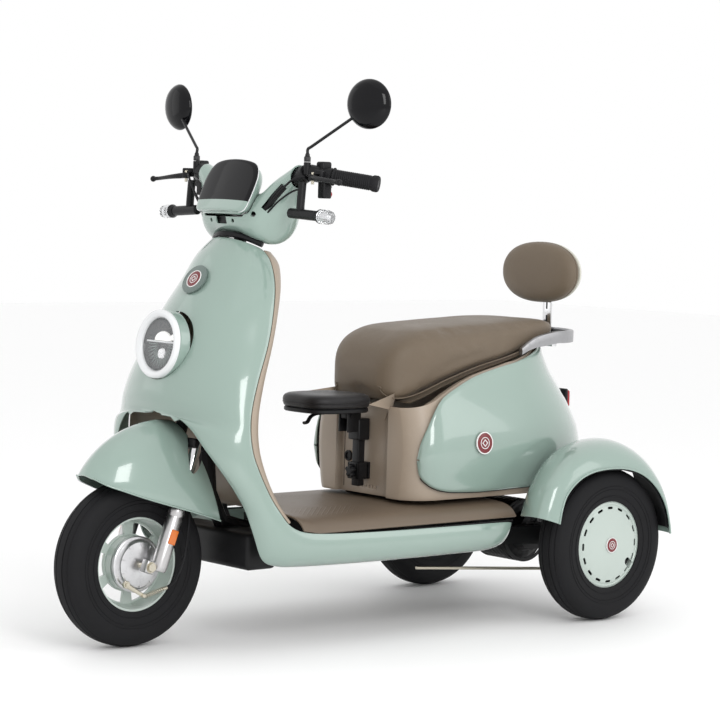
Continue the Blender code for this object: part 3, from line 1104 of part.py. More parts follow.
def foot_brake():
    pivot = fore(*PEDAL_PIVOT)
    boss = rod(pivot - X_AXIS * 0.016, pivot + X_AXIS * 0.016, 0.011, 12)
    pedal = put("brake_pedal", boss, "black_frame", pivot)
    arm = sweep([pivot, pivot + Vector((0, -0.045, 0.035)), pivot + Vector((0, -0.070, 0.085)), pivot + Vector((0, -0.074, 0.1475))], [0.006] * 4, 9)
    pad_at = pivot + Vector((0, -0.080, 0.148))
    pad = block(pad_at + Vector((-0.028, -0.010, -0.006)), pad_at + Vector((0.028, 0.036, 0.004)))
    crank = block(pivot + Vector((-0.004, -0.007, -CRANK - 0.008)), pivot + Vector((0.004, 0.007, -0.003)))
    combine(pedal, [put(f"pedal_member_{i}", bm, "black_frame") for i, bm in enumerate((arm, pad, crank))])
    eye = pivot + Vector((0.004 + GAP + 0.003, 0, -CRANK))
    far = Vector((eye.x, aft(0, -0.095, 0).y, eye.z))
    put("brake_rod", rod(eye - Vector((0, 0.006, 0)), far, 0.003, 10), "steel", eye)


def main():
    for obj in list(bpy.data.objects):
        bpy.data.objects.remove(obj, do_unlink=True)
    leg_shield()
    inner_shield()
    floor_board()
    headlight()
    seat_box()
    side_cover(1, "side_cover_left")
    side_cover(-1, "side_cover_right")
    tail_light()
    rear_fender(1, "rear_fender_left")
    rear_fender(-1, "rear_fender_right")
    grab_rail()
    seat_parts()
    backrest()
    battery_pack()
    child_seat()
    frame()
    swing_arm()
    drive_motor()
    shock(1, "shock_left")
    shock(-1, "shock_right")
    front_wheel()
    rear_wheel(1, "left")
    rear_wheel(-1, "right")
    fork_crown()
    fork_lower()
    brake_plate()
    front_fender()
    handlebar()
    headset_cover()
    dash()
    pods()
    grips()
    levers()
    mirrors()
    signals()
    switches()
    foot_brake()


main()
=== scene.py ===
from math import copysign, cos, pi, radians, sin, sqrt

import bmesh
import bpy
from mathutils import Matrix, Vector


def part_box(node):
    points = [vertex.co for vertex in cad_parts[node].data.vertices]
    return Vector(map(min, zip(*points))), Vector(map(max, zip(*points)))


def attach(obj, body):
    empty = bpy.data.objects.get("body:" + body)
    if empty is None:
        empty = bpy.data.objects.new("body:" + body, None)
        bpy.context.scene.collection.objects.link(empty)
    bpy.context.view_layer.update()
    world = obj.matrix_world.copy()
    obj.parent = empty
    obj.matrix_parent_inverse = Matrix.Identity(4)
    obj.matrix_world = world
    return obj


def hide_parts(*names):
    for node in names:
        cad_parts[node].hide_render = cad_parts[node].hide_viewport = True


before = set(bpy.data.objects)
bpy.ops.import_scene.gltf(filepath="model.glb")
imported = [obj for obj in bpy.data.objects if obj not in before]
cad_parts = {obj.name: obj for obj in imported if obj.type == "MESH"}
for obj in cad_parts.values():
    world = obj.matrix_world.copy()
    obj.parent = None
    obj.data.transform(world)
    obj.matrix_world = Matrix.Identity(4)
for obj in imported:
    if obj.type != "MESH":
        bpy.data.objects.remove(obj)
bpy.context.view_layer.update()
print("frame loaded")

xAxis, yAxis, zAxis = Vector((1, 0, 0)), Vector((0, 1, 0)), Vector((0, 0, 1))


def middle(node):
    low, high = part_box(node)
    return (low + high) / 2


# wheel centres give every other place on the scooter
frontHub = Vector((0, middle("front_tyre").y, middle("front_tyre").z))
rearHub = Vector((0, middle("rear_tyre_left").y, middle("rear_tyre_left").z))
wheelX = middle("rear_tyre_left").x
rake = radians(20)
forkUp = Vector((0, sin(rake), cos(rake)))
forkAhead = Vector((0, -cos(rake), sin(rake)))


def fore(x, y, z):  # y counts back from the front axle
    return Vector((x, frontHub.y + y, z))


def aft(x, y, z):  # y counts back from the rear axle
    return Vector((x, rearHub.y + y, z))


def forkPoint(x, along, ahead=0.0):  # along the steering axis, from axle height
    return fore(x, 0.028, frontHub.z) + forkUp * along + forkAhead * ahead


# finishes
class Wire:  # a shader socket that takes part in plain sums
    def __init__(self, look, socket):
        self.look, self.socket = look, socket

    def sum(self, operation, first, second=0.0):
        return self.look.node("ShaderNodeMath", {"operation": operation}, {0: first, 1: second})

    def __add__(self, other):
        return self.sum("ADD", self, other)

    def __sub__(self, other):
        return self.sum("SUBTRACT", self, other)

    def __rsub__(self, other):
        return self.sum("SUBTRACT", other, self)

    def __mul__(self, other):
        return self.sum("MULTIPLY", self, other)

    def __truediv__(self, other):
        return self.sum("DIVIDE", self, other)

    def __pow__(self, other):
        return self.sum("POWER", self, other)

    def __gt__(self, other):
        return self.sum("GREATER_THAN", self, other)

    def __lt__(self, other):
        return self.sum("LESS_THAN", self, other)

    def largest(self, other):
        return self.sum("MAXIMUM", self, other)

    def wave(self):
        return self.sum("SINE", self)

    def size(self):
        return self.sum("ABSOLUTE", self)

    __radd__, __rmul__ = __add__, __mul__


class Look:  # one material and the nodes that make it
    def __init__(self, name, colour, rough, metal=0.0, **fixed):
        self.name = name
        self.material = bpy.data.materials.new(name)
        self.material.use_nodes = True
        self.tree = self.material.node_tree
        self.shader = self.tree.nodes["Principled BSDF"]
        self.colour = (*colour, 1)
        self.shader.inputs["Base Color"].default_value = self.colour
        self.shader.inputs["Roughness"].default_value = rough
        self.shader.inputs["Metallic"].default_value = metal
        for key, value in fixed.items():
            self.shader.inputs[key].default_value = value
        self.rough = rough

    def node(self, kind, settings=None, sockets=None, out=0):
        made = self.tree.nodes.new(kind)
        for key, value in (settings or {}).items():
            if key == "stops":
                ramp = made.color_ramp
                while len(ramp.elements) < len(value):
                    ramp.elements.new(0.5)
                for stop, (place, shade) in zip(ramp.elements, value):
                    stop.position = place
                    stop.color = (shade, shade, shade, 1)
            else:
                setattr(made, key, value)
        for key, value in (sockets or {}).items():
            if isinstance(value, Wire):
                self.tree.links.new(value.socket, made.inputs[key])
            else:
                made.inputs[key].default_value = value
        return Wire(self, made.outputs[out])

    def place(self, stretch=(1, 1, 1), shift=(0, 0, 0)):
        spot = self.node("ShaderNodeTexCoord", out="Object")
        return self.node("ShaderNodeMapping", None, {"Vector": spot, "Scale": stretch, "Location": shift})

    def axis(self, which, stretch=(1, 1, 1), shift=(0, 0, 0)):
        return self.node("ShaderNodeSeparateXYZ", None, {0: self.place(stretch, shift)}, which)

    def noise(self, scale, detail=3.0, stretch=(1, 1, 1), rough=0.5):
        sockets = {"Vector": self.place(stretch), "Scale": scale, "Detail": detail, "Roughness": rough}
        return self.node("ShaderNodeTexNoise", None, sockets)

    def cells(self, scale, feature="F1", stretch=(1, 1, 1)):
        return self.node("ShaderNodeTexVoronoi", {"feature": feature},
                         {"Vector": self.place(stretch), "Scale": scale})

    def ramp(self, value, *stops):
        return self.node("ShaderNodeValToRGB", {"stops": stops}, {0: value})

    def feed(self, name, value):
        self.tree.links.new(value.socket, self.shader.inputs[name])
        return self

    def stain(self, mask, colour, first=None):
        first = self.colour if first is None else first
        return self.node("ShaderNodeMix", {"data_type": "RGBA"}, {0: mask, 6: first, 7: (*colour, 1)}, 2)

    def relief(self, height, depth, strength=1.0):
        bump = self.node("ShaderNodeBump", None, {"Height": height, "Distance": depth, "Strength": strength})
        return self.feed("Normal", bump)


def shade(colour, factor):
    return tuple(min(1.0, part * factor) for part in colour)


def paint(name, colour, rough, speck=0.03, **fixed):  # lacquer over colour, faint orange peel and dust
    look = Look(name, colour, rough, **fixed)
    cloud = look.ramp(look.noise(2.4, 3), (0.35, 0.0), (0.7, 1.0))
    dust = look.ramp(look.noise(46, 8, rough=0.7), (0.62, 0.0), (0.74, 1.0))
    tone = look.stain(cloud * 0.5, shade(colour, 0.93))
    look.feed("Base Color", look.stain(dust * speck * 4, shade(colour, 1.25), tone))
    look.feed("Roughness", cloud * 0.04 + dust * 0.1 + rough)
    return look.relief(look.noise(260, 2) + look.noise(38, 2) * 0.4, 0.0001, 0.22)


def moulded(name, colour, rough, grain=900, depth=0.00018, **fixed):  # textured plastic
    look = Look(name, colour, rough, **fixed)
    cloud = look.noise(7, 4)
    wear = look.ramp(look.noise(28, 8, rough=0.75), (0.55, 0.0), (0.75, 1.0))
    tone = look.stain(cloud * 0.6, shade(colour, 0.86))
    look.feed("Base Color", look.stain(wear * 0.22, shade(colour, 1.35), tone))
    look.feed("Roughness", cloud * 0.1 + wear * 0.12 + (rough - 0.08))
    return look.relief(look.cells(grain) + look.noise(grain * 0.5, 3) * 0.6, depth, 0.5)


def metal(name, colour, rough, stretch=(1, 1, 1), scale=300, depth=0.00005, pits=0.0, **fixed):
    look = Look(name, colour, rough, 1.0, **fixed)
    scratch = look.noise(scale, 6, stretch, 0.7)
    cloud = look.ramp(look.noise(9, 5), (0.3, 0.0), (0.75, 1.0))
    grime = look.ramp(look.noise(60, 9, rough=0.8), (0.52, 0.0), (0.7, 1.0))
    tone = look.stain(cloud * 0.5, shade(colour, 0.82))
    look.feed("Base Color", look.stain(grime * 0.35, shade(colour, 0.55), tone))
    look.feed("Roughness", scratch * 0.16 + grime * 0.2 + (rough - 0.08))
    height = scratch + look.cells(520) * pits
    return look.relief(height, depth, 0.6)


def leather(name, colour, rough, grain=420):
    look = Look(name, colour, rough)
    look.shader.inputs["Sheen Weight"].default_value = 0.06
    look.shader.inputs["Specular IOR Level"].default_value = 0.35
    creases = look.cells(grain, "DISTANCE_TO_EDGE")
    pebble = look.ramp(creases, (0.0, 0.0), (0.16, 1.0))
    cloud = look.noise(5.5, 5)
    rub = look.ramp(look.noise(13, 6, rough=0.65), (0.5, 0.0), (0.78, 1.0))
    tone = look.stain(cloud * 0.7, shade(colour, 0.84))
    tone = look.stain(rub * 0.35, shade(colour, 1.18), tone)
    look.feed("Base Color", look.stain((1 - pebble) * 0.28, shade(colour, 0.62), tone))
    look.feed("Roughness", (1 - pebble) * 0.14 + rub * -0.08 + cloud * 0.08 + rough)
    fine = look.noise(160, 4)
    return look.relief(pebble * 0.7 + fine * 0.4, 0.0003, 0.55)


def rubber(name, colour, rough):
    look = Look(name, colour, rough, **{"Specular IOR Level": 0.22})
    dust = look.ramp(look.noise(18, 8, rough=0.7), (0.42, 0.0), (0.75, 1.0))
    look.feed("Base Color", look.stain(dust * 0.35, shade(colour, 2.6)))
    look.feed("Roughness", dust * 0.14 + (rough - 0.06))
    return look.relief(look.noise(700, 4), 0.00012, 0.5)


mintColour = (0.254, 0.342, 0.3)
looks = {"mint": paint("mintPaint", mintColour, 0.17, **{"Coat Weight": 1.0, "Coat Roughness": 0.04}),
         "beige": moulded("beigePlastic", (0.35, 0.285, 0.222), 0.42, 1100, 0.00012),
         "deck": moulded("deckPlastic", (0.142, 0.106, 0.074), 0.48, 900, 0.00018),
         "black": moulded("blackPlastic", (0.009, 0.009, 0.01), 0.42, **{"Specular IOR Level": 0.22}),
         "gloss": paint("glossBlack", (0.003, 0.003, 0.004), 0.06, 0.01, **{"Specular IOR Level": 0.22}),
         "frame": paint("framePaint", (0.008, 0.008, 0.009), 0.34, 0.05, **{"Specular IOR Level": 0.28}),
         "alloy": metal("castAlloy", (0.66, 0.66, 0.67), 0.3, pits=0.5, depth=0.00008),
         "satin": metal("satinSteel", (0.56, 0.55, 0.55), 0.3, (1, 1, 14)),
         "zinc": metal("zincSteel", (0.62, 0.58, 0.48), 0.36),
         "chrome": metal("chrome", (0.78, 0.78, 0.79), 0.08, scale=120),
         "rail": metal("railLacquer", (0.4, 0.4, 0.41), 0.34),
         "ring": paint("lampRing", (0.74, 0.75, 0.76), 0.14, 0.01, **{"Coat Weight": 0.5}),
         "tyre": rubber("tyreRubber", (0.007, 0.007, 0.008), 0.74),
         "grip": rubber("gripRubber", (0.007, 0.007, 0.008), 0.62),
         "seat": leather("taupeLeather", (0.152, 0.116, 0.08), 0.42),
         "childSeat": leather("blackLeather", (0.009, 0.008, 0.009), 0.34, 520),
         "cream": paint("creamPlastic", (0.6, 0.59, 0.52), 0.2, 0.01, **{"Coat Weight": 0.4}),
         "cap": paint("wheelCap", (0.45, 0.515, 0.475), 0.26, 0.01, **{"Coat Weight": 0.5}),
         "orange": Look("orangeReflector", (0.62, 0.16, 0.03), 0.16),
         "red": Look("redLens", (0.32, 0.012, 0.014), 0.14),
         "maroon": paint("badgeEnamel", (0.16, 0.02, 0.024), 0.22, 0.01),
         "white": paint("whiteEnamel", (0.78, 0.77, 0.76), 0.25, 0.01),
         "grey": paint("badgeGrey", (0.13, 0.17, 0.155), 0.3, 0.01),
         "lens": Look("clearLens", (0.9, 0.91, 0.92), 0.06, **{"Transmission Weight": 0.82, "IOR": 1.46}),
         "pane": Look("clearPane", (0.9, 0.92, 0.93), 0.03, **{"Alpha": 0.1}),
         "mirror": metal("mirrorGlass", (0.85, 0.86, 0.88), 0.02, scale=40, depth=0.000005),
         "led": Look("ledLight", (0.95, 0.95, 0.93), 0.2, **{"Emission Color": (1, 0.98, 0.94, 1),
                                                             "Emission Strength": 0.35}),}
for key, prism in (("orange", 330), ("red", 240), ("lens", 150)):
    looks[key].relief(looks[key].cells(prism, "DISTANCE_TO_EDGE"), 0.0004, 0.35)
print("finishes mixed")


# shaping
def piece(name, bm, look, body, stands=(), sharp=38):
    mesh = bpy.data.meshes.new(name)
    bm.to_mesh(mesh)
    bm.free()
    return finished(name, mesh, look, body, stands, sharp)


def finished(name, mesh, look, body, stands=(), sharp=38):
    mesh.shade_smooth()
    mesh.set_sharp_from_angle(angle=radians(sharp))
    made = bpy.data.objects.new(name, mesh)
    bpy.context.scene.collection.objects.link(made)
    mesh.materials.clear()
    mesh.materials.append(looks[look].material)
    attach(made, body)
    if stands:
        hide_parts(*([stands] if isinstance(stands, str) else stands))
    return made


def gridOf(rows, wrap=False):  # a grid laid over rows of points
    bm = bmesh.new()
    down, across = len(rows) - 1, len(rows[0]) - 1
    bmesh.ops.create_grid(bm, x_segments=across, y_segments=down, size=1)
    for vert in bm.verts:
        i = round((vert.co.y + 1) / 2 * down)
        j = round((vert.co.x + 1) / 2 * across)
        vert.co = rows[i][j]
    bmesh.ops.remove_doubles(bm, verts=bm.verts, dist=1e-5)
    if wrap:
        bmesh.ops.holes_fill(bm, edges=bm.edges, sides=0)
        bmesh.ops.recalc_face_normals(bm, faces=bm.faces)
    return bm


def mirrored(bm):
    bmesh.ops.mirror(bm, geom=bm.verts[:] + bm.edges[:] + bm.faces[:], axis="X", merge_dist=2e-5)
    bmesh.ops.remove_doubles(bm, verts=bm.verts, dist=2e-5)
    return bm


def faceFrom(bm, inside):  # turns the faces away from a point
    bmesh.ops.recalc_face_normals(bm, faces=bm.faces)
    facing = sum((f.calc_center_median() - inside).dot(f.normal) * f.calc_area() for f in bm.faces)
    if facing < 0:
        bmesh.ops.reverse_faces(bm, faces=bm.faces)
    return bm


def panel(name, bm, look, body, stands, inside, wall=0.003, rim=0.0009, cuts=()):  # a moulded shell
    faceFrom(bm, inside)
    made = piece(name, bm, look, body, stands, 50)
    thick = made.modifiers.new("wall", "SOLIDIFY")
    thick.thickness, thick.offset, thick.use_even_offset = wall, -1, True
    for tool in cuts:
        carve(made, tool)
    if rim:
        edge = made.modifiers.new("rim", "BEVEL")
        edge.width, edge.segments, edge.limit_method = rim, 2, "ANGLE"
        edge.angle_limit = radians(55)
    settle(made)
    return made


def settle(made):  # modifiers become plain mesh
    graph = bpy.context.evaluated_depsgraph_get()
    graph.update()
    mesh = bpy.data.meshes.new_from_object(made.evaluated_get(graph))
    for modifier in list(made.modifiers):
        made.modifiers.remove(modifier)
    made.data = mesh
    mesh.shade_smooth()
    mesh.set_sharp_from_angle(angle=radians(40))
    return made


def cutter(bm):
    mesh = bpy.data.meshes.new("cutter")
    bm.to_mesh(mesh)
    bm.free()
    made = bpy.data.objects.new("cutter", mesh)
    bpy.context.scene.collection.objects.link(made)
    made.hide_render = True
    cutters.append(made)
    return made


cutters = []


def carve(made, tool, overlapping=False):
    cut = made.modifiers.new("cut", "BOOLEAN")
    cut.operation, cut.solver, cut.object, cut.use_self = "DIFFERENCE", "EXACT", tool, overlapping


def bulge(value, power):  # raises the size of a value and keeps its sign
    return copysign(abs(value) ** power, value)


def turned(axis):
    return zAxis.rotation_difference(Vector(axis).normalized()).to_matrix().to_4x4()


def spun(profile, centre, axis, steps=64, shut=True):  # a profile of (radius, height) turned round an axis
    bm = bmesh.new()
    verts = [bm.verts.new((r, 0, h)) for r, h in profile]
    ends = len(verts) if shut else len(verts) - 1
    edges = [bm.edges.new((verts[i], verts[(i + 1) % len(verts)])) for i in range(ends)
             if profile[i][0] > 1e-7 or profile[(i + 1) % len(verts)][0] > 1e-7]
    bmesh.ops.spin(bm, geom=verts + edges, cent=(0, 0, 0), axis=(0, 0, 1), angle=2 * pi, steps=steps,
                   use_merge=True)
    bmesh.ops.remove_doubles(bm, verts=bm.verts, dist=1e-6)
    bmesh.ops.delete(bm, geom=[e for e in bm.edges if not e.link_faces], context="EDGES")
    bmesh.ops.recalc_face_normals(bm, faces=bm.faces)
    bmesh.ops.transform(bm, matrix=Matrix.Translation(centre) @ turned(axis), verts=bm.verts)
    return bm


def rod(start, end, radius, steps=32, soft=0.0):
    start, end = Vector(start), Vector(end)
    long = (end - start).length
    soft = min(soft, radius * 0.6, long * 0.4)
    outline = [(0, 0), (radius - soft, 0), (radius, soft), (radius, long - soft), (radius - soft, long),
               (0, long)]
    return spun(outline, start, end - start, steps)


def brick(low, high, soft=0.002, segments=3):
    low, high = Vector(low), Vector(high)
    bm = bmesh.new()
    bmesh.ops.create_cube(bm, size=1)
    bmesh.ops.scale(bm, vec=high - low, verts=bm.verts)
    bmesh.ops.translate(bm, vec=(low + high) / 2, verts=bm.verts)
    if soft:
        bmesh.ops.bevel(bm, geom=bm.edges[:], offset=soft, segments=segments, profile=0.5, affect="EDGES",
                        clamp_overlap=True, material=-1)
    return bm


def moved(bm, matrix):
    bmesh.ops.transform(bm, matrix=matrix, verts=bm.verts)
    return bm


def joined(*meshes):
    whole = bmesh.new()
    for bm in meshes:
        mesh = bpy.data.meshes.new("joined")
        bm.to_mesh(mesh)
        bm.free()
        whole.from_mesh(mesh)
        bpy.data.meshes.remove(mesh)
    return whole


def curl(points, parts=8):  # a smooth line through points
    points = [Vector(p) for p in points]
    line = []
    for i in range(len(points) - 1):
        p0, p1, p2 = points[max(i - 1, 0)], points[i], points[i + 1]
        p3 = points[min(i + 2, len(points) - 1)]
        for k in range(parts):
            t = k / parts
            line.append(0.5 * (2 * p1 + (p2 - p0) * t + (2 * p0 - 5 * p1 + 4 * p2 - p3) * t * t
                               + (3 * p1 - p0 - 3 * p2 + p3) * t ** 3))
    return line + [points[-1]]


def tube(points, radii, sides=16, flat=1.0):  # a swept tube, its radius following the points
    points = [Vector(p) for p in points]
    if isinstance(radii, (int, float)):
        radii = [radii] * len(points)
    first = (points[1] - points[0]).normalized()
    side = first.cross(zAxis)
    side = side.normalized() if side.length > 0.2 else xAxis.copy()
    rows = []
    for i, point in enumerate(points):
        ahead = (points[min(i + 1, len(points) - 1)] - points[max(i - 1, 0)]).normalized()
        side = (side - ahead * side.dot(ahead)).normalized()
        over = side.cross(ahead)
        rows.append([point + side * cos(a) * radii[i] * flat + over * sin(a) * radii[i]
                     for a in (2 * pi * k / sides for k in range(sides + 1))])
    return gridOf(rows, True)


def arcRow(start, knee, end, steps):  # a quarter ellipse tangent to the lines that meet at knee
    start, knee, end = Vector(start), Vector(knee), Vector(end)
    return [start + (knee - start) * sin(a) + (end - knee) * (1 - cos(a))
            for a in (pi / 2 * i / steps for i in range(steps + 1))]


def refined(table, parts):  # rows of points with smooth rows added between them
    lines = [curl(line, parts) for line in zip(*table)]
    return [list(row) for row in zip(*lines)]


def rung(value, table):  # a smooth reading from (key, value) pairs
    for i in range(len(table) - 1):
        (k0, v0), (k1, v1) = table[i], table[i + 1]
        if value <= k1 or i == len(table) - 2:
            before = table[i - 1] if i else (2 * k0 - k1, 2 * v0 - v1)
            after = table[i + 2] if i + 2 < len(table) else (2 * k1 - k0, 2 * v1 - v0)
            t = min(1.0, max(0.0, (value - k0) / (k1 - k0)))
            m0 = (v1 - before[1]) / (k1 - before[0]) * (k1 - k0)
            m1 = (after[1] - v0) / (after[0] - k0) * (k1 - k0)
            return ((2 * t ** 3 - 3 * t * t + 1) * v0 + (t ** 3 - 2 * t * t + t) * m0
                    + (3 * t * t - 2 * t ** 3) * v1 + (t ** 3 - t * t) * m1)


# leg shield, skirt and deck
deck = {"edge": 0.252, "top": 0.29, "wall": 0.003}
lamp = {"at": (0.0, 0.07, 0.667), "radius": 0.077, "tilt": 7, "ribs": 34}
lampAhead = Vector((0, -cos(radians(lamp["tilt"])), sin(radians(lamp["tilt"]))))
edge = deck["edge"]
# each row: a point on the front, the knee of its curve, a point on the outer edge
shieldTop = [((0, 0.235, 0.906), (0.088, 0.237, 0.904), (0.09, 0.284, 0.88)),
             ((0, 0.2, 0.868), (0.115, 0.203, 0.866), (0.117, 0.284, 0.855)),
             ((0, 0.164, 0.807), (0.14, 0.168, 0.805), (0.143, 0.277, 0.806)),
             ((0, 0.12, 0.74), (0.163, 0.124, 0.738), (0.169, 0.254, 0.745)),
             ((0, 0.085, 0.67), (0.18, 0.088, 0.667), (0.19, 0.225, 0.675)),
             ((0, 0.062, 0.6), (0.204, 0.066, 0.6), (0.211, 0.184, 0.6)),
             ((0, 0.056, 0.55), (0.218, 0.06, 0.547), (0.222, 0.16, 0.54)),
             ((0, 0.058, 0.52), (0.225, 0.062, 0.512), (0.227, 0.153, 0.5)),]
shieldArch = [((0.085, 0.056, 0.513), (0.228, 0.064, 0.487), (0.231, 0.153, 0.468)),
              ((0.13, 0.065, 0.488), (0.233, 0.072, 0.452), (0.235, 0.158, 0.436)),
              ((0.165, 0.078, 0.447), (0.238, 0.087, 0.413), (0.239, 0.171, 0.402)),
              ((0.19, 0.098, 0.407), (0.243, 0.107, 0.374), (0.242, 0.187, 0.369)),
              ((0.203, 0.127, 0.363), (0.249, 0.136, 0.334), (0.245, 0.206, 0.336)),
              ((0.212, 0.155, 0.315), (0.256, 0.166, 0.295), (0.249, 0.227, 0.307)),
              ((0.218, 0.175, 0.262), (0.264, 0.192, 0.258), (edge - 0.001, 0.246, 0.285)),
              ((0.221, 0.199, 0.205), (0.27, 0.22, 0.222), (edge, 0.27, 0.27)),
              ((0.223, 0.24, 0.187), (0.274, 0.262, 0.197), (edge, 0.302, 0.261)),
              ((0.224, 0.3, 0.182), (0.276, 0.32, 0.191), (edge, 0.35, 0.256)),
              ((0.224, 0.4, 0.179), (0.276, 0.42, 0.188), (edge, 0.44, 0.252)),
              ((0.224, 0.56, 0.177), (0.276, 0.57, 0.186), (edge, 0.58, 0.249)),]
skirtAft = [((0.224, -0.4, 0.177), (0.276, -0.395, 0.186), (edge, -0.39, 0.247)),
            ((0.224, -0.31, 0.178), (0.275, -0.29, 0.187), (edge, -0.27, 0.246)),
            ((0.226, -0.266, 0.186), (0.258, -0.254, 0.194), (edge - 0.003, -0.24, 0.243)),]


def halfShell(table, parts, steps):
    rows = [arcRow(*row, steps) for row in refined(table, parts)]
    for row in rows:
        for point in row:
            point.x = max(0.0, point.x)
    return rows


def legShield():
    table = [[fore(*p) for p in row] for row in shieldTop + shieldArch]
    table += [[aft(*p) for p in row] for row in skirtAft]
    rows = halfShell(table, 5, 22)
    hole = cutter(rod(fore(*lamp["at"]) + lampAhead * 0.03, fore(*lamp["at"]) - lampAhead * 0.09,
                      lamp["radius"] + 0.0012, 96))
    panel("legShield", mirrored(gridOf(rows)), "mint", "chassis", "leg_shield", fore(0, 0.25, 0.5),
          deck["wall"], cuts=[hole])


def innerShield():
    backs = [(0.343, 0.866), (0.356, 0.832), (0.341, 0.785), (0.313, 0.728), (0.285, 0.66), (0.26, 0.592),
             (0.246, 0.53), (0.241, 0.49), (0.239, 0.455), (0.241, 0.424), (0.245, 0.394), (0.254, 0.364),
             (0.266, 0.336), (0.28, 0.312), (0.292, 0.3)]
    table = []
    for (y, z), (_, _, rimPoint) in zip(backs, shieldTop + shieldArch):
        start = fore(rimPoint[0] - 0.001, rimPoint[1] + 0.0036, rimPoint[2])
        table.append((fore(0, y, z), fore(start.x, y, (z + rimPoint[2]) / 2), start))
    rows = halfShell(table, 5, 16)
    panel("innerShield", mirrored(gridOf(rows)), "beige", "chassis", "inner_shield", fore(0, 0.15, 0.6))


def deckTread():  # shallow diagonal grip lines, printed into the deck's relief
    look = looks["deck"]
    x, y = look.axis(0), look.axis(1)
    lines = look.ramp(((x + y) * 420).wave() * 0.5 + 0.5, (0.8, 0.0), (0.95, 1.0))
    across = look.ramp(((x - y) * 420).wave() * 0.5 + 0.5, (0.8, 0.0), (0.95, 1.0))
    flank = (x.size() - 0.135).size() < 0.045
    span = (y > frontHub.y + 0.36) * (y < rearHub.y - 0.6)
    band = flank * span
    grain = look.cells(1300) * 0.12
    look.relief(lines.largest(across) * band + grain, 0.0007, 0.7)


def floorBoard():
    rungs = [fore(0, y, 0).y for y in (0.296, 0.305, 0.32, 0.34, 0.36, 0.43, 0.52, 0.6)]
    rungs += [aft(0, y, 0).y for y in (-0.48, -0.37, -0.27, -0.222)]
    across = [(0, 0), (0.09, 0), (0.17, -0.002), (0.2, -0.0048), (0.215, -0.008), (0.228, -0.0135),
              (0.237, -0.02), (0.2435, -0.0275), (edge - 0.0045, -0.033)]
    rows = []
    for y in rungs:
        lift = 0.008 * min(1.0, max(0.0, (fore(0, 0.34, 0).y - y) / 0.044))
        rows.append([Vector((x, y, deck["top"] + drop + lift)) for x, drop in across])
    slot = cutter(brick(fore(-0.164, 0.33, 0.24), fore(-0.136, 0.425, 0.32), 0.006))
    board = panel("floorBoard", mirrored(gridOf(rows)), "deck", "chassis", "floor_board", fore(0, 0.5, 0),
                  0.004, cuts=[slot])
    deckTread()
    # a thin black strip tucked into the gap under each deck edge: painted shade in that gap
    darkStrip = [brick(fore(0.248, 0.33, 0.2465), aft(0.2497, -0.235, 0.25), 0.0004, 1)]
    darkStrip.append(moved(darkStrip[0].copy(), Matrix.Scale(-1, 4, xAxis)))
    for bm in darkStrip:
        bmesh.ops.recalc_face_normals(bm, faces=bm.faces)
    piece("deckSeal", joined(*darkStrip), "black", "chassis")
    return board


def splashBox():  # black boxes and brackets under the nose and the deck
    parts = [brick(fore(-0.15, 0.215, 0.168), fore(0.15, 0.3, 0.25), 0.012),
             brick(fore(-0.2, 0.52, 0.195), fore(0.2, 0.6, 0.214), 0.004)]
    piece("splashBox", joined(*parts), "black", "chassis")


